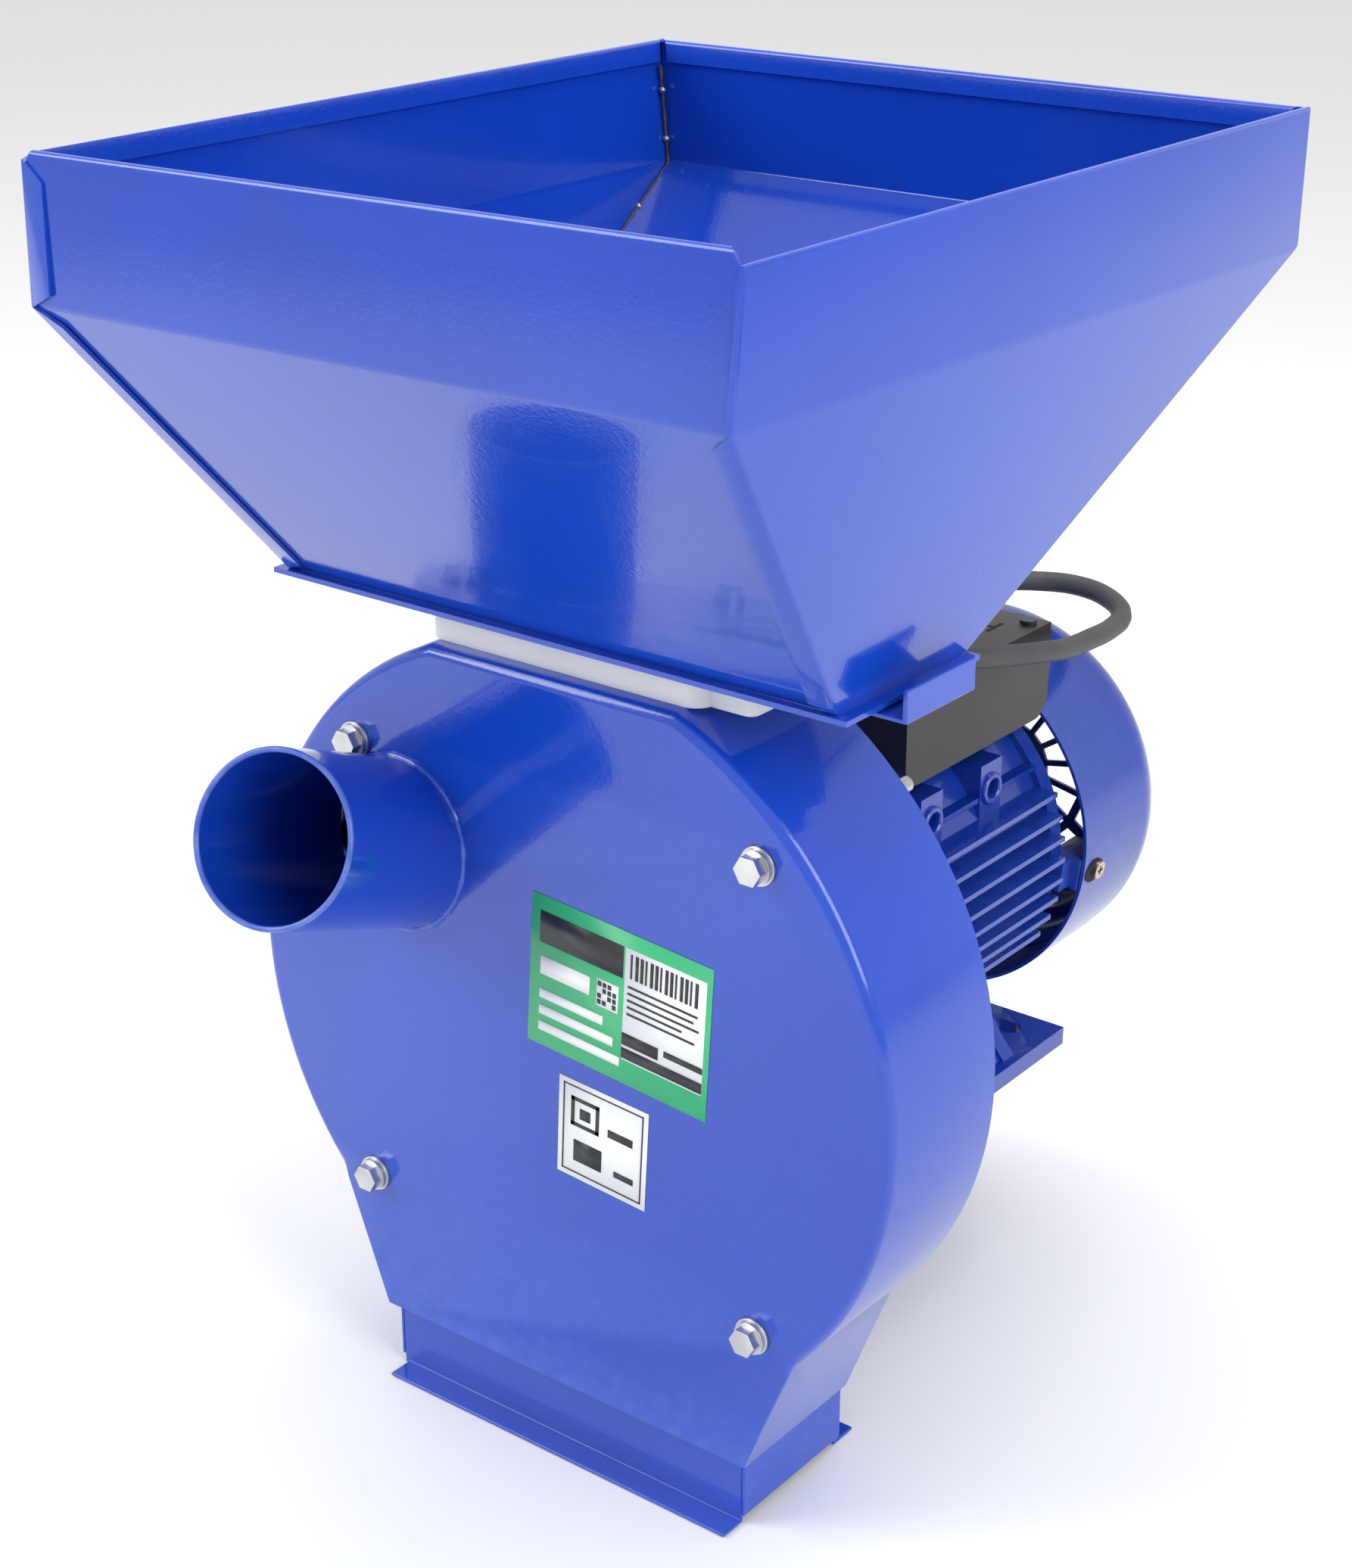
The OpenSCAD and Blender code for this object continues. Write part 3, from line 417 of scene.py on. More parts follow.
def make_finish(name, colour, second, edge, peel=(400, 0.00003), rough=(0.2, 0.3), broad=(12, 0.3),
        speckle=(1500, 0.1), wear=0.3, **shader_values):
    material = bpy.data.materials.new(name)
    material.use_nodes = True
    nodes, links = material.node_tree.nodes, material.node_tree.links
    shader = nodes["Principled BSDF"]
    tint = use(nodes, uneven, Color=(*colour, 1), Second_Color=(*second, 1), Size=broad[0],
        Amount=broad[1], Speckle_Size=speckle[0], Speckle=speckle[1])
    rim = use(nodes, worn, Edge_Color=(*edge, 1), Amount=wear)
    shine = use(nodes, gloss, Low=rough[0], High=rough[1])
    grain = use(nodes, relief, Size=peel[0], Depth=peel[1])
    links.new(tint.outputs["Color"], rim.inputs["Color"])
    links.new(rim.outputs["Color"], shader.inputs["Base Color"])
    links.new(shine.outputs["Roughness"], shader.inputs["Roughness"])
    links.new(grain.outputs["Normal"], shader.inputs["Normal"])
    for key, value in shader_values.items():
        shader.inputs[key.replace("_", " ")].default_value = value
    return material


print("ready to mix paint")

# %% [markdown]
# The sheet metal and the castings are sprayed in the same glossy royal blue. On the sheets the
# orange peel is fine; on the castings it lies over the coarser skin of the casting.

# %% Paints
sheet_blue = make_finish("sheet_blue", (0.006, 0.056, 0.47), (0.005, 0.035, 0.32),
    (0.06, 0.15, 0.6), peel=(620, 0.00006), rough=(0.11, 0.17), broad=(9, 0.35),
    speckle=(1300, 0.55), wear=0.5, Coat_Weight=0.45, Coat_Roughness=0.03)
cast_blue = make_finish("cast_blue", (0.006, 0.037, 0.34), (0.004, 0.025, 0.22),
    (0.05, 0.12, 0.5), peel=(620, 0.00008), rough=(0.16, 0.28), broad=(14, 0.4),
    speckle=(1300, 0.5), wear=0.5, Coat_Weight=0.35, Coat_Roughness=0.05)
print("paints:", sheet_blue.name, cast_blue.name)

# %% [markdown]
# Plated screws are bright with a faint cloudiness; bare steel is greyer; the screen is
# galvanised; hardened hammers keep a dark scale; wire is varnished copper.

# %% Metals
bright_zinc = make_finish("bright_zinc", (0.66, 0.66, 0.65), (0.42, 0.43, 0.45),
    (0.85, 0.85, 0.85), peel=(900, 0.00002), rough=(0.22, 0.42), broad=(60, 0.7), Metallic=1.0)
yellow_zinc = make_finish("yellow_zinc", (0.68, 0.52, 0.24), (0.5, 0.45, 0.38),
    (0.85, 0.75, 0.5), peel=(900, 0.00002), rough=(0.22, 0.4), broad=(90, 0.7), Metallic=1.0)
turned_steel = make_finish("turned_steel", (0.4, 0.4, 0.41), (0.27, 0.27, 0.28),
    (0.65, 0.65, 0.65), peel=(1400, 0.00001), rough=(0.25, 0.45), broad=(40, 0.6), Metallic=1.0)
galvanised = make_finish("galvanised", (0.56, 0.58, 0.6), (0.4, 0.42, 0.45), (0.75, 0.75, 0.77),
    peel=(300, 0.00001), rough=(0.3, 0.5), broad=(150, 0.8), Metallic=1.0)
scaled_steel = make_finish("scaled_steel", (0.12, 0.12, 0.13), (0.2, 0.17, 0.15),
    (0.5, 0.5, 0.5), peel=(700, 0.00004), rough=(0.4, 0.6), broad=(90, 0.6), Metallic=0.9)
iron_stack = make_finish("iron_stack", (0.22, 0.22, 0.23), (0.15, 0.13, 0.12),
    (0.4, 0.4, 0.4), peel=(1200, 0.00006), rough=(0.45, 0.65), broad=(60, 0.5), Metallic=0.8)
copper_wire = make_finish("copper_wire", (0.6, 0.25, 0.1), (0.4, 0.13, 0.05),
    (0.8, 0.45, 0.25), peel=(800, 0.0003), rough=(0.25, 0.4), broad=(80, 0.5), Metallic=0.9)
print("metals made")

# %% [markdown]
# Plastics and rubber are not metallic: the moulded grain and the roughness make the
# difference between the satin box, the milky throat and the matt rubber lead.

# %% Plastics and rubber
box_black = make_finish("box_black", (0.012, 0.012, 0.013), (0.022, 0.022, 0.024),
    (0.06, 0.06, 0.06), peel=(1600, 0.00005), rough=(0.32, 0.45), broad=(30, 0.5))
milky_white = make_finish("milky_white", (0.72, 0.74, 0.74), (0.6, 0.62, 0.63),
    (0.85, 0.85, 0.85), peel=(700, 0.00002), rough=(0.35, 0.48), broad=(25, 0.4))
can_white = make_finish("can_white", (0.75, 0.75, 0.72), (0.66, 0.66, 0.62), (0.85, 0.85, 0.85),
    peel=(900, 0.00001), rough=(0.2, 0.3), broad=(30, 0.3))
rocker_red = make_finish("rocker_red", (0.5, 0.012, 0.012), (0.38, 0.008, 0.01),
    (0.7, 0.1, 0.1), peel=(1500, 0.00001), rough=(0.2, 0.3), broad=(60, 0.4))
lead_grey = make_finish("lead_grey", (0.05, 0.05, 0.054), (0.075, 0.074, 0.072),
    (0.12, 0.12, 0.12), peel=(1100, 0.00006), rough=(0.5, 0.65), broad=(45, 0.6))
plug_black = make_finish("plug_black", (0.014, 0.014, 0.015), (0.024, 0.024, 0.026),
    (0.07, 0.07, 0.07), peel=(1400, 0.00004), rough=(0.3, 0.42), broad=(50, 0.5))
green_print = make_finish("green_print", (0.045, 0.5, 0.2), (0.035, 0.43, 0.17),
    (0.05, 0.4, 0.2), peel=(2000, 0.000008), rough=(0.28, 0.4), broad=(40, 0.3))
white_print = make_finish("white_print", (0.82, 0.84, 0.85), (0.75, 0.76, 0.78),
    (0.9, 0.9, 0.9), peel=(2000, 0.000008), rough=(0.3, 0.42), broad=(40, 0.3))
black_print = make_finish("black_print", (0.015, 0.016, 0.018), (0.03, 0.03, 0.032),
    (0.05, 0.05, 0.05), peel=(2000, 0.000008), rough=(0.3, 0.45), broad=(40, 0.3))
print("materials:", len(bpy.data.materials))

# %% [markdown]
# ## Materials on the CAD nodes
# Each CAD node already says in the record which finish it has. That table is turned into the
# materials above, so no node is left grey.

# %% Give every CAD node its finish
finish_of = {"blue_paint": sheet_blue, "motor_paint": cast_blue, "cast_paint": cast_blue,
    "zinc": bright_zinc, "yellow_zinc": yellow_zinc, "white_plastic": milky_white,
    "bare_steel": turned_steel, "screen_steel": galvanised, "hard_steel": scaled_steel,
    "laminations": iron_stack, "copper": copper_wire, "black_plastic": box_black,
    "cap_plastic": can_white, "red_plastic": rocker_red, "lead_rubber": lead_grey,
    "plug_plastic": plug_black}
slot_of = {part["node"]: part["material_slot"] for part in frame["record"]["subparts"]}
for name, node in frame["nodes"].items():
    node.data.materials.clear()
    node.data.materials.append(finish_of[slot_of[name]])
print("dressed nodes:", len(slot_of))

# %% [markdown]
# ## Rounding the CAD pieces
# No real edge is perfectly sharp: paint and plastic round it by a few tenths of a millimetre,
# and that is what catches the light. This helper copies a CAD node, merges its loose triangles
# into clean faces and lets a Bevel modifier round what is left.

# %% A helper that rounds a CAD node
def merged_copy(node_name):
    mesh = frame["nodes"][node_name].data.copy()
    shape = bmesh.new()
    shape.from_mesh(mesh)
    bmesh.ops.remove_doubles(shape, verts=shape.verts, dist=0.00001)
    bmesh.ops.dissolve_limit(shape, angle_limit=math.radians(0.6), verts=shape.verts,
        edges=shape.edges, use_dissolve_boundaries=False)
    return mesh, shape


def finish_piece(name, shape, material, body, slot, smooth=35, mesh=None):
    mesh = mesh or bpy.data.meshes.new(name)
    mesh.name = name
    shape.to_mesh(mesh)
    shape.free()
    mesh.shade_smooth()
    mesh.set_sharp_from_angle(angle=math.radians(smooth))
    if not mesh.materials:
        mesh.materials.append(material)
    piece = bpy.data.objects.new(name, mesh)
    bpy.context.scene.collection.objects.link(piece)
    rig.ride(piece, body)
    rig.slot(piece, slot)
    return piece


def round_edges(piece, width, segments=2, angle=30):
    rounding = piece.modifiers.new("rounding", "BEVEL")
    rounding.width = width * MM
    rounding.segments = segments
    rounding.limit_method = "ANGLE"
    rounding.angle_limit = math.radians(angle)
    rounding.use_clamp_overlap = True
    rounding.harden_normals = True
    return piece


def rounded_node(node_name, width, segments=2, angle=30, body="mill"):
    mesh, shape = merged_copy(node_name)
    piece = finish_piece(node_name + "_rounded", shape, finish_of[slot_of[node_name]], body,
        slot_of[node_name], angle, mesh)
    round_edges(piece, width, segments, angle)
    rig.replaces(piece, node_name)
    return piece


for name, width in [("chute_front", 0.5), ("chute_back", 0.5), ("chute_sides", 0.5),
        ("hopper_base", 0.4), ("feed_throat", 1.0), ("back_plate", 0.5), ("box_base", 2.0),
        ("box_lid", 2.0), ("motor_feet", 1.0), ("cover_bolts", 0.35), ("cover_nuts", 0.3),
        ("cover_washers", 0.3), ("feed_pipe", 0.4), ("plug", 0.8), ("switch_body", 0.6)]:
    rounded_node(name, width)
rounded_node("feed_slide", 0.5, body="slide")
rounded_node("switch_rocker", 0.4, body="rocker")
print("shown pieces:", len(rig.pieces()))

# %% [markdown]
# The lead takes its rubber and is declared as a free cord: where it leaves the box, how long
# and thick it is, and the rounded plug and the tie that go with it.

lead_curve.materials.append(lead_grey)
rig.ride(lead, "mill")
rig.replaces(lead, "mains_cord", "cord_coil")
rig.slot(lead, "lead_rubber")
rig.cord(lead, exit=tuple(route[0]), length=lead_length, diameter=0.009, far_end="plug",
    stiffness="medium", lay="coiled", with_pieces=[bpy.data.objects["plug_rounded"], "cord_tie"])
print("lead declared with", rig.alive(lead))

# %% [markdown]
# ## Front cover
# The cover is pressed from one sheet, so its front edge is a soft fold of about 5 mm, much
# rounder than a cut edge. Only the edges of the front outline are bevelled here.

# %% Fold the front edge of the cover
cover_mesh, cover = merged_copy("front_cover")
front_y = at(0, 0, 0).y
outline = [e for e in cover.edges if all(abs(v.co.y - front_y) < 1e-5 for v in e.verts)
    and all(math.hypot(v.co.x, v.co.z - 0.08) > 0.14 for v in e.verts)
    and min(v.co.z for v in e.verts) > at(0, 0, -156.5).z]
bmesh.ops.bevel(cover, geom=outline, offset=4.5 * MM, offset_type="OFFSET", segments=6,
    profile=0.5, affect="EDGES", material=-1, clamp_overlap=True)
cover_piece = finish_piece("front_cover_folded", cover, sheet_blue, "mill", "blue_paint", 32,
    cover_mesh)
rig.replaces(cover_piece, "front_cover")
print("folded edges:", len(outline))

# %% [markdown]
# ## Hopper
# The hopper is four bent sheets. Each wall has an upright band, a slope down to the foot and a
# rim folded inwards as a hem. The side walls have flaps that lap over the front and back. A
# sheet starts as one edge at its foot and is extruded edge by edge, as it would be drawn.

# %% A helper that extrudes one edge to a new place
def extruded(shape, edge, start, new_start, new_end):
    old_place = start.co.copy()
    made = bmesh.ops.extrude_edge_only(shape, edges=[edge])["geom"]
    corners = [g for g in made if isinstance(g, bmesh.types.BMVert)]
    copied = min(corners, key=lambda v: (v.co - old_place).length)
    for v in corners:
        v.co = at(*new_start) if v is copied else at(*new_end)
    new_edge = next(g for g in made if isinstance(g, bmesh.types.BMEdge)
        and all(v in corners for v in g.verts))
    return new_edge, copied


def distance_to(edge, a, b):
    first, second = [v.co for v in edge.verts]
    return min((first - a).length + (second - b).length, (second - a).length + (first - b).length)


print("edges can be extruded")

# %% [markdown]
# A sheet is a list of lines, from its foot to its hem, each given by its two ends. A flap is
# extruded from the side edge between two of its points to two new points.

# %% A helper that bends a sheet
def bent_sheet(lines, flaps=(), fold=1.4):
    shape = bmesh.new()
    start, end = [shape.verts.new(at(*p)) for p in lines[0]]
    edge = shape.edges.new((start, end))
    for line in lines[1:]:
        edge, start = extruded(shape, edge, start, *line)
    for root_start, root_end, out_start, out_end in flaps:
        a, b = at(*root_start), at(*root_end)
        side = min((e for e in shape.edges if e.is_boundary), key=lambda e: distance_to(e, a, b))
        near_a = min(side.verts, key=lambda v: (v.co - a).length)
        extruded(shape, side, near_a, out_start, out_end)
    bmesh.ops.recalc_face_normals(shape, faces=shape.faces)
    folds = [e for e in shape.edges if not e.is_boundary]
    bmesh.ops.bevel(shape, geom=folds, offset=fold * MM, offset_type="OFFSET", segments=4,
        profile=0.5, affect="EDGES", material=-1, clamp_overlap=True)
    return shape


def sheet_piece(name, shape, node_name, outward, thickness=1.5):
    bmesh.ops.recalc_face_normals(shape, faces=shape.faces)
    biggest = max(shape.faces, key=lambda f: f.calc_area())
    if biggest.normal.dot(Vector(outward)) < 0:
        bmesh.ops.reverse_faces(shape, faces=shape.faces)
    piece = finish_piece(name, shape, sheet_blue, "mill", "blue_paint", 40)
    wall = piece.modifiers.new("thickness", "SOLIDIFY")
    wall.thickness = thickness * MM
    wall.offset = -1
    round_edges(piece, 0.35, 2, 50)
    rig.replaces(piece, node_name)
    return piece


print("sheet bender ready")

# %% [markdown]
# The front wall's rim and bend rise a few millimetres towards the right, as on a hand-bent
# sheet. Its rim stops short of the corners, where the sheet is cut at a slant.

# %% Front and back walls
rim, bend, foot = 324.5, 271.7, 158.2
lift = 4.4
front_wall = bent_sheet([((-125.4, 1, foot), (125.4, 1, foot)),
    ((-149, -91, bend), (149.4, -91, bend + lift)),
    ((-150.6, -88.7, rim - 4), (151, -88.7, rim + lift - 6.5)),
    ((-148.6, -88.4, rim), (147.5, -88.4, rim + lift)),
    ((-148, -85.1, rim), (145, -85.1, rim + lift)),
    ((-147, -85.1, rim - 9), (143, -85.1, rim + lift - 9))])
sheet_piece("hopper_front_wall", front_wall, "hopper_front", (0, -1, 0))
back_wall = bent_sheet([((-125.4, 77, foot), (125.4, 77, foot)),
    ((-149, 265, bend), (149, 265, bend)), ((-150.6, 262, rim), (150.6, 262, rim)),
    ((-147, 258.7, rim), (147, 258.7, rim)), ((-146, 258.7, rim - 9), (146, 258.7, rim - 9))])
sheet_piece("hopper_back_wall", back_wall, "hopper_back", (0, 1, 0))
print("front and back walls bent")

# %% [markdown]
# The side walls lap over the ends of the front and back walls. Each flap is about 11 mm wide
# with slanted ends, and lies a paint's thickness proud of the wall that it covers.

# %% Side walls with their flaps
for side, name in ((-1, "left"), (1, "right")):
    rise = lift if side > 0 else 0
    wall = bent_sheet([((side * 127, -1, foot), (side * 127, 79.5, foot)),
        ((side * 150.7, -92.4, bend + rise), (side * 150.7, 266.5, bend)),
        ((side * 152.7, -89.6, rim - 4 + rise), (side * 152.7, 263, rim)),
        ((side * 149.4, -82, rim), (side * 149.4, 258, rim)),
        ((side * 149.2, -82, rim - 9), (side * 149.2, 258, rim - 9))],
        flaps=[((side * 127, -1, foot), (side * 150.7, -92.4, bend + rise),
            (side * 117, -3.6, foot + 3), (side * 140, -87.8, bend - 7 + rise)),
            ((side * 150.7, -92.4, bend + rise), (side * 152.7, -89.6, rim - 4 + rise),
            (side * (140 if side < 0 else 148), -92.3, bend + 5 + rise),
            (side * (142 if side < 0 else 149.5), -89.9, rim - 10 + rise)),
            ((side * 127, 79.5, foot), (side * 150.7, 266.5, bend),
            (side * 116, 85.5, foot + 3), (side * 140, 261, bend - 5)),
            ((side * 150.7, 266.5, bend), (side * 152.7, 263, rim),
            (side * 140, 266.5, bend + 5), (side * 142, 263.4, rim - 6))])
    sheet_piece("hopper_" + name + "_wall", wall, "hopper_" + name, (side, 0, 0), 1.4)
print("side walls bent")

# %% [markdown]
# ## Labels
# Two printed labels stick to the cover. They are thin sheets, and what is printed on them is
# kept to plain bars and blocks with no words. A patch is placed by its position across and down
# the label, between the label's own four corners.

# %% Labels made of thin patches
def patch(shape, corners, across, down, height, index):
    low_left, low_right, top_right, top_left = [at(x, 0, z) for x, z in corners]
    made = bmesh.ops.create_grid(shape, x_segments=1, y_segments=1, size=0.5)
    for v in made["verts"]:
        u = across[0] if v.co.x < 0 else across[1]
        w = down[0] if v.co.y > 0 else down[1]
        top = top_left.lerp(top_right, u)
        bottom = low_left.lerp(low_right, u)
        v.co = top.lerp(bottom, w) + Vector((0, -height * MM, 0))
    for face in {f for v in made["verts"] for f in v.link_faces}:
        face.material_index = index


def label_piece(name, corners, patches, printed):
    shape = bmesh.new()
    for across, down, height, index in patches:
        patch(shape, corners, across, down, height, index)
    bmesh.ops.recalc_face_normals(shape, faces=shape.faces)
    for face in shape.faces:
        if face.normal.y > 0:
            face.normal_flip()
    label = finish_piece(name, shape, printed[0], "mill", "blue_paint")
    for material in printed[1:]:
        label.data.materials.append(material)
    depth = label.modifiers.new("thickness", "SOLIDIFY")
    depth.thickness = 0.1 * MM
    return label


green_corners = [(-11.8, -6.2), (72.9, -13.4), (76.6, 49.5), (-7.5, 56.8)]
bars = [((0.05, 0.52), (0.1, 0.31), 0.3, 2), ((0.53, 0.97), (0.1, 0.84), 0.3, 1),
    ((0.06, 0.34), (0.4, 0.52), 0.3, 1), ((0.38, 0.5), (0.38, 0.56), 0.3, 1)]
bars += [((0.06, 0.06 + w), (0.62 + 0.11 * i, 0.68 + 0.11 * i), 0.3, 1)
    for i, w in enumerate((0.36, 0.42, 0.46))]
bars += [((0.56 + 0.027 * i, 0.56 + 0.027 * i + (0.017 if i % 3 else 0.01)), (0.13, 0.29), 0.4, 2)
    for i in range(14)]
bars += [((0.55, 0.55 + w), (0.34 + 0.045 * i, 0.355 + 0.045 * i), 0.4, 2)
    for i, w in enumerate((0.38, 0.36, 0.39, 0.3, 0.37))]
bars += [((0.53, 0.73), (0.66, 0.74), 0.4, 2), ((0.76, 0.97), (0.66, 0.7), 0.4, 2),
    ((0.53, 0.97), (0.76, 0.83), 0.4, 2)]
bars += [((0.385 + 0.028 * i, 0.405 + 0.028 * i), (0.395 + 0.04 * j, 0.425 + 0.04 * j), 0.4, 2)
    for i in range(4) for j in range(4) if (i * 3 + j * 5) % 4 != 1]
green_label = label_piece("green_label", green_corners, [((0, 1), (0, 1), 0.2, 0)] + bars,
    (green_print, white_print, black_print))
white_corners = [(1.8, -58.6), (44.4, -61.7), (46.8, -19.2), (3.9, -16.3)]
frame_lines = [((0.05, 0.95), (0.05, 0.065), 0.3, 1), ((0.05, 0.95), (0.935, 0.95), 0.3, 1),
    ((0.05, 0.065), (0.05, 0.95), 0.3, 1), ((0.935, 0.95), (0.05, 0.95), 0.3, 1),
    ((0.14, 0.46), (0.16, 0.2), 0.3, 1), ((0.14, 0.46), (0.42, 0.46), 0.3, 1),
    ((0.14, 0.18), (0.16, 0.46), 0.3, 1), ((0.42, 0.46), (0.16, 0.46), 0.3, 1),
    ((0.24, 0.36), (0.26, 0.37), 0.3, 1), ((0.56, 0.84), (0.34, 0.42), 0.3, 1),
    ((0.18, 0.5), (0.6, 0.82), 0.3, 1), ((0.64, 0.86), (0.74, 0.8), 0.3, 1)]
white_label = label_piece("white_label", white_corners, [((0, 1), (0, 1), 0.2, 0)] + frame_lines,
    (white_print, black_print))
print("label patches:", len(green_label.data.polygons), len(white_label.data.polygons))

# %% [markdown]
# ## Weld bead round the feed pipe
# The pipe is welded to the cover. The bead is a ring of molten metal, a little uneven, that
# follows the slanted cut of the pipe. A closed curve with changing radius shows just that.

# %% The weld bead
tilt, lean = math.radians(22.5), math.radians(12)
pipe_way = Vector((math.cos(tilt) * math.sin(lean), -math.cos(tilt) * math.cos(lean), math.sin(tilt)))
side_way = pipe_way.cross(Vector((0, 0, 1))).normalized()
up_way = side_way.cross(pipe_way)
bead_curve = bpy.data.curves.new("pipe_weld", "CURVE")
bead_curve.dimensions = "3D"
bead_curve.bevel_depth = 1.5 * MM
bead_curve.bevel_resolution = 3
bead = bead_curve.splines.new("POLY")
steps_round = 96
bead.points.add(steps_round - 1)
bead.use_cyclic_u = True
for i in range(steps_round):
    turn = 2 * math.pi * i / steps_round
    p = at(-76, 0, 57.5) + 33.2 * MM * (math.cos(turn) * side_way + math.sin(turn) * up_way)
    p = p - pipe_way * ((p.y - front_y) / pipe_way.y)
    bead.points[i].co = (*p, 1)
    bead.points[i].radius = 1 + 0.18 * math.sin(17 * turn) + 0.12 * math.sin(41 * turn)
bead_curve.materials.append(sheet_blue)
pipe_weld = bpy.data.objects.new("pipe_weld", bead_curve)
bpy.context.scene.collection.objects.link(pipe_weld)
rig.ride(pipe_weld, "mill")
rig.slot(pipe_weld, "blue_paint")
print("weld bead points:", steps_round)

# %% [markdown]
# The mouth of the pipe is cut and deburred, so its rim is a rounded ring, painted slightly paler as
# a painted highlight along the rim. It is the same kind of closed curve, with an even thickness.

# %% Rim of the feed pipe
# Painted highlight: a paler blue on the rim ring in place of the light that the rim catches.
rim_highlight_blue = make_finish("rim_highlight_blue", (0.09, 0.16, 0.5), (0.03, 0.08, 0.45), (0.4, 0.45, 0.6),
    peel=(900, 0.00005), rough=(0.15, 0.3), broad=(120, 0.8), speckle=(1300, 0.5))
lip_curve = bpy.data.curves.new("pipe_rim", "CURVE")
lip_curve.dimensions = "3D"
lip_curve.bevel_depth = 1.15 * MM
lip_curve.bevel_resolution = 3
lip = lip_curve.splines.new("POLY")
lip.points.add(steps_round - 1)
lip.use_cyclic_u = True
for i in range(steps_round):
    turn = 2 * math.pi * i / steps_round
    p = at(-76, 0, 57.5) + pipe_way * 89.3 * MM
    p = p + 32 * MM * (math.cos(turn) * side_way + math.sin(turn) * up_way)
    lip.points[i].co = (*p, 1)
lip_curve.materials.append(rim_highlight_blue)
pipe_rim = bpy.data.objects.new("pipe_rim", lip_curve)
bpy.context.scene.collection.objects.link(pipe_rim)
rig.ride(pipe_rim, "mill")
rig.slot(pipe_rim, "blue_paint")
print("pipe rim made")

# %% [markdown]
# ## Webs of the motor feet
# Between the two gussets of each foot the casting is filled by a sloping web. It starts as a
# cube whose corners are drawn onto the slope.

# %% Sloping webs
webs = bmesh.new()
for side in (-1, 1):
    made = bmesh.ops.create_cube(webs, size=1)
    for v in made["verts"]:
        y = 150 if v.co.y < 0 else 206
        inner = 4.0 if v.co.x < 0 else 0.0
        x, z = (51, -39) if v.co.z > 0 else (78.5, -72.5)
        v.co = at(side * (x - inner), y, z - inner * 0.6)
bmesh.ops.recalc_face_normals(webs, faces=webs.faces)
foot_webs = round_edges(finish_piece("foot_webs", webs, cast_blue, "mill", "cast_paint"), 1.0, 3)
print("webs:", len(foot_webs.data.polygons) // 6)

# %% [markdown]
# ## Weld spots inside the hopper
# The sheets are joined at the inside of each corner by a thin seam with a few weld spots. The
# seam is drawn as a dark brown to near-black line along each corner; the spots are small flattened drops.

# %% Seams and weld spots
seam_brown = make_finish("seam_brown", (0.10, 0.06, 0.04), (0.02, 0.02, 0.03), (0.2, 0.15, 0.1),
    peel=(1500, 0.0002), rough=(0.5, 0.7), broad=(300, 0.9), speckle=(900, 0.6))


def seam(name, points, radius):
    curve = bpy.data.curves.new(name, "CURVE")
    curve.dimensions = "3D"
    curve.bevel_depth = radius * MM
    curve.bevel_resolution = 2
    line = curve.splines.new("POLY")
    line.points.add(len(points) - 1)
    for i, p in enumerate(points):
        line.points[i].co = (*at(*p), 1)
        line.points[i].radius = 1 + 0.35 * math.sin(2.3 * i)
    curve.materials.append(seam_brown)
    made = bpy.data.objects.new(name, curve)
    bpy.context.scene.collection.objects.link(made)
    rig.ride(made, "mill")
    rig.slot(made, "blue_paint")
    return made


def between(a, b, count):
    return [tuple(a[k] + (b[k] - a[k]) * i / count for k in range(3)) for i in range(count + 1)]


spots = bmesh.new()
for side in (-1, 1):
    for y_rim, y_bend, y_foot, z_bend, label in ((257.5, 262.5, 76, 271.7, "back"),
            (-84, -83.5, 5, 273, "front")):
        upper = between((side * 148.6, y_rim, 314), (side * 148.4, y_bend, z_bend), 12)
        lower = between((side * 148.4, y_bend, z_bend), (side * 125, y_foot, 160), 30)
        seam("seam_%s_%s" % (label, "left" if side < 0 else "right"), upper + lower[1:], 0.7)
        for p in (upper[3], upper[9], lower[4], lower[16]):
            bmesh.ops.create_icosphere(spots, subdivisions=2, radius=1.7 * MM,
                matrix=Matrix.Translation(at(p[0], p[1], p[2])))
weld_spots = finish_piece("weld_spots", spots, turned_steel, "mill", "blue_paint")
print("weld spots:", len(weld_spots.data.polygons))

# %% [markdown]
# ## Motor details
# Each lifting lug has a raised round boss around its hole. A boss is a small open section spun
# round the hole's own axis, and its outer faces are turned to point away from the motor.

# %% Bosses of the lugs
lug_places = [(side, y) for side in (-1, 1) for y in (166, 211)]
lug_face, lug_height = 60.5, 45
boss_section = [(-0.3, 7.2), (1.0, 7.0), (1.6, 6.4), (1.6, 5.0), (1.0, 4.4), (-6, 4.2)]
bosses = bmesh.new()
for side, y in lug_places:
    hole = at(side * lug_face, y, lug_height)
    ring = [bosses.verts.new(hole + Vector((side * out * MM, 0, r * MM))) for out, r in boss_section]
    edges = [bosses.edges.new(pair) for pair in zip(ring, ring[1:])]
    bmesh.ops.spin(bosses, geom=ring + edges, cent=hole, axis=(1, 0, 0), angle=2 * math.pi,
        steps=32, use_merge=True)
bmesh.ops.remove_doubles(bosses, verts=bosses.verts, dist=0.00001)
bmesh.ops.recalc_face_normals(bosses, faces=bosses.faces)
for face in bosses.faces:
    side = 1 if face.calc_center_median().x > 0 else -1
    if abs(face.normal.x) > 0.6 and face.normal.x * side < 0:
        face.normal_flip()
lug_bosses = finish_piece("lug_bosses", bosses, cast_blue, "mill", "cast_paint", 40)
print("boss faces:", len(lug_bosses.data.polygons))
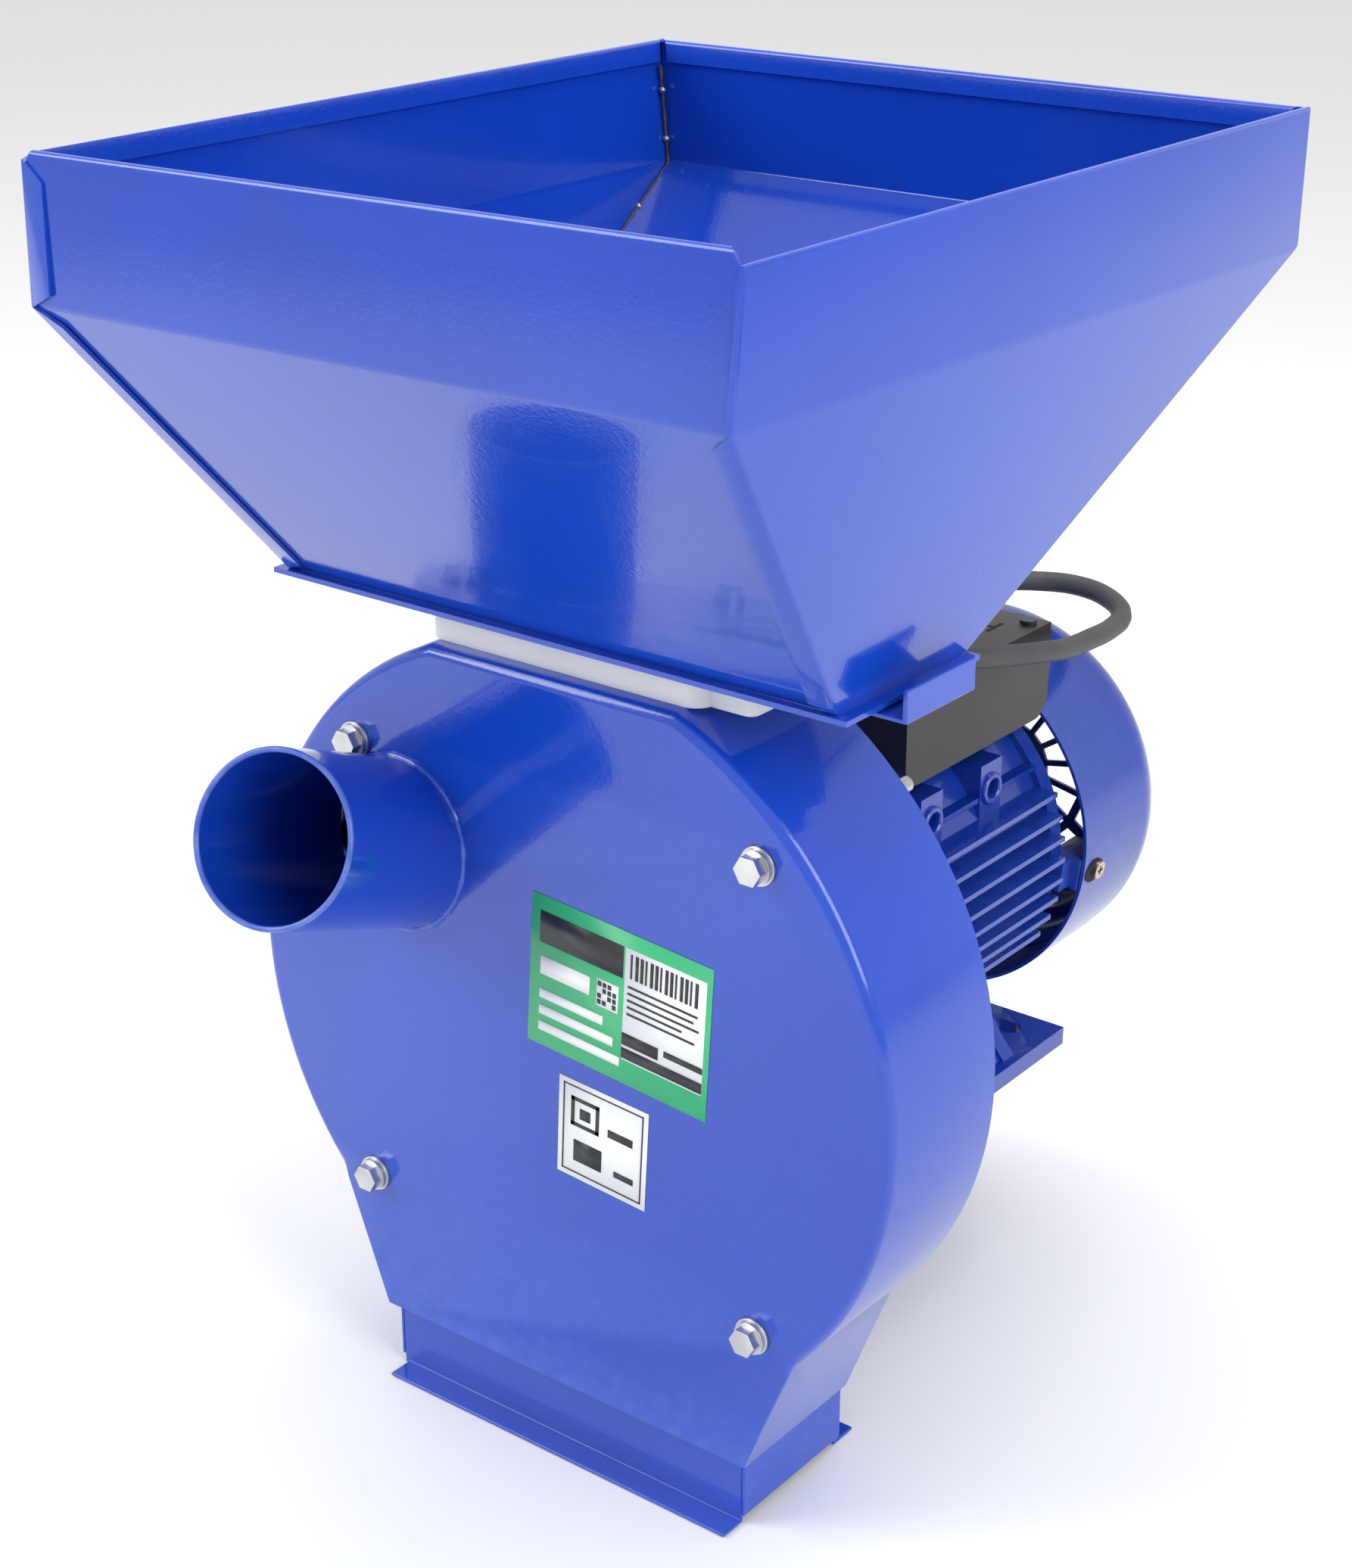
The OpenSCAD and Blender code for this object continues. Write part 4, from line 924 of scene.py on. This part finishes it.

# %% [markdown]
# ## Slots in the lid
# The lid of the box has a few short slots for hooks under it. Their shade is painted: each slot is
# a thin near-black plate set into the top, standing in for the shadow in the recess.

# %% Slots in the lid, with painted shade
slots = bmesh.new()
for x, y, wide, deep in ((44, 236, 1.6, 12), (30, 214, 1.6, 8), (44, 190, 1.6, 12),
        (-44, 236, 1.6, 12), (-44, 190, 1.6, 12), (38, 236, 10, 1.6)):
    made = bmesh.ops.create_cube(slots, size=1)
    for v in made["verts"]:
        v.co = at(x + v.co.x * wide, y + v.co.y * deep, 105.0 + v.co.z * 0.3)
# Painted shade: a near-black finish that stands in for the shadow inside slots and recesses.
painted_shade_black = make_finish("painted_shade_black", (0.002, 0.002, 0.002), (0.004, 0.004, 0.004),
    (0.01, 0.01, 0.01), rough=(0.7, 0.9))
lid_slot_shades = finish_piece("lid_slot_shades", slots, painted_shade_black, "mill", "black_plastic")
round_edges(lid_slot_shades, 0.1)
frame["nodes"]["lid_screws"].data.materials[0] = plug_black
print("slots:", len(lid_slot_shades.data.polygons) // 6)

# %% [markdown]
# ## Cross recesses of the fan cover's screws
# A pan-head screw has a cross recess and sits in a short slot in the rim of the cover; both are drawn as thin
# near-black pieces, painted shade for the shadow in them.

# %% Painted shade in the crosses and slots of the fan cover's screws
screw_angles = (-7, 187, 270)
screw_y, shaft_height = 267.5, 4
crosses = bmesh.new()
slot_marks = bmesh.new()
for degrees in screw_angles:
    turn = Matrix.Translation(at(0, screw_y, shaft_height)) @ Matrix.Rotation(-math.radians(degrees), 4, "Y")
    for size in ((0.25, 4.2, 0.9), (0.25, 0.9, 4.2)):
        made = bmesh.ops.create_cube(crosses, size=1)
        bmesh.ops.scale(crosses, vec=[v * MM for v in size], verts=made["verts"])
        bmesh.ops.translate(crosses, vec=(84.15 * MM, 0, 0), verts=made["verts"])
        bmesh.ops.transform(crosses, matrix=turn, verts=made["verts"])
    made = bmesh.ops.create_cone(slot_marks, cap_ends=True, segments=24, radius1=5.4 * MM,
        radius2=5.4 * MM, depth=0.5 * MM, matrix=Matrix.Rotation(math.pi / 2, 4, "Y"))
    bmesh.ops.scale(slot_marks, vec=(1, 1.35, 1), verts=made["verts"])
    bmesh.ops.translate(slot_marks, vec=(82.0 * MM, -2 * MM, 0), verts=made["verts"])
    bmesh.ops.transform(slot_marks, matrix=turn, verts=made["verts"])
# Painted shade: thin near-black crosses and discs in place of the shadow in the recesses.
finish_piece("screw_cross_shades", crosses, painted_shade_black, "mill", "yellow_zinc")
finish_piece("screw_slot_shades", slot_marks, painted_shade_black, "mill", "motor_paint")
print("screws marked:", len(screw_angles))

# %% [markdown]
# ## Studio
# Soft light from large panels and a pale surround keep the blue clean; the pale floor shows in
# the sloping faces of the hopper as it would on a table top.

# %% Floor, panels and surround
floor_mesh = bpy.data.meshes.new("floor")
floor_shape = bmesh.new()
bmesh.ops.create_grid(floor_shape, x_segments=1, y_segments=1, size=40,
    matrix=Matrix.Translation((0, 0, at(0, 0, -187.3).z)))
floor_shape.to_mesh(floor_mesh)
floor_shape.free()
floor = bpy.data.objects.new("floor", floor_mesh)
bpy.context.scene.collection.objects.link(floor)
floor_paper = make_finish("floor_paper", (0.86, 0.86, 0.87), (0.84, 0.84, 0.85), (0.9, 0.9, 0.9),
    peel=(300, 0.00001), rough=(0.6, 0.7), broad=(2, 0.3))
floor_mesh.materials.append(floor_paper)
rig.stage(floor)


def panel(name, place, target, size, power):
    light = bpy.data.lights.new(name, "AREA")
    light.shape = "RECTANGLE"
    light.size, light.size_y = size
    light.energy = power
    lamp = bpy.data.objects.new(name, light)
    bpy.context.scene.collection.objects.link(lamp)
    lamp.location = place
    lamp.rotation_euler = (Vector(target) - lamp.location).to_track_quat("-Z", "Y").to_euler()
    return lamp


panel("left_panel", (-1.5, -1.6, 1.5), (0, -0.1, 0.15), (1.2, 1.6), 30)
panel("right_panel", (2.0, -0.5, 1.3), (0, -0.1, 0.15), (1.2, 1.6), 27)
panel("top_panel", (0.1, 0.3, 2.3), (0, 0, 0.2), (1.6, 1.6), 24)
surround = bpy.data.worlds.new("surround")
surround.use_nodes = True
sky_nodes, sky_links = surround.node_tree.nodes, surround.node_tree.links
backdrop_light = sky_nodes["Background"]
backdrop_light.inputs["Color"].default_value = (1, 1, 1, 1)
backdrop_light.inputs["Strength"].default_value = 0.82
backdrop_seen = sky_nodes.new("ShaderNodeBackground")
backdrop_seen.inputs["Color"].default_value = (1, 1, 1, 1)
backdrop_seen.inputs["Strength"].default_value = 1.0
which_ray = sky_nodes.new("ShaderNodeLightPath")
either = sky_nodes.new("ShaderNodeMixShader")
sky_links.new(which_ray.outputs["Is Camera Ray"], either.inputs["Fac"])
sky_links.new(backdrop_light.outputs["Background"], either.inputs[1])
sky_links.new(backdrop_seen.outputs["Background"], either.inputs[2])
sky_links.new(either.outputs["Shader"], sky_nodes["World Output"].inputs["Surface"])
bpy.context.scene.world = surround
bpy.context.scene.view_settings.view_transform = "Standard"
print("lights:", len(bpy.data.lights))

# %% Write both boxes and finish
json.dump({"cad": cad_box, "visual": [list(corner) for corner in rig.bounds()]},
    open("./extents.json", "w"))
print("visual box:", [list(corner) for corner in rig.bounds()])
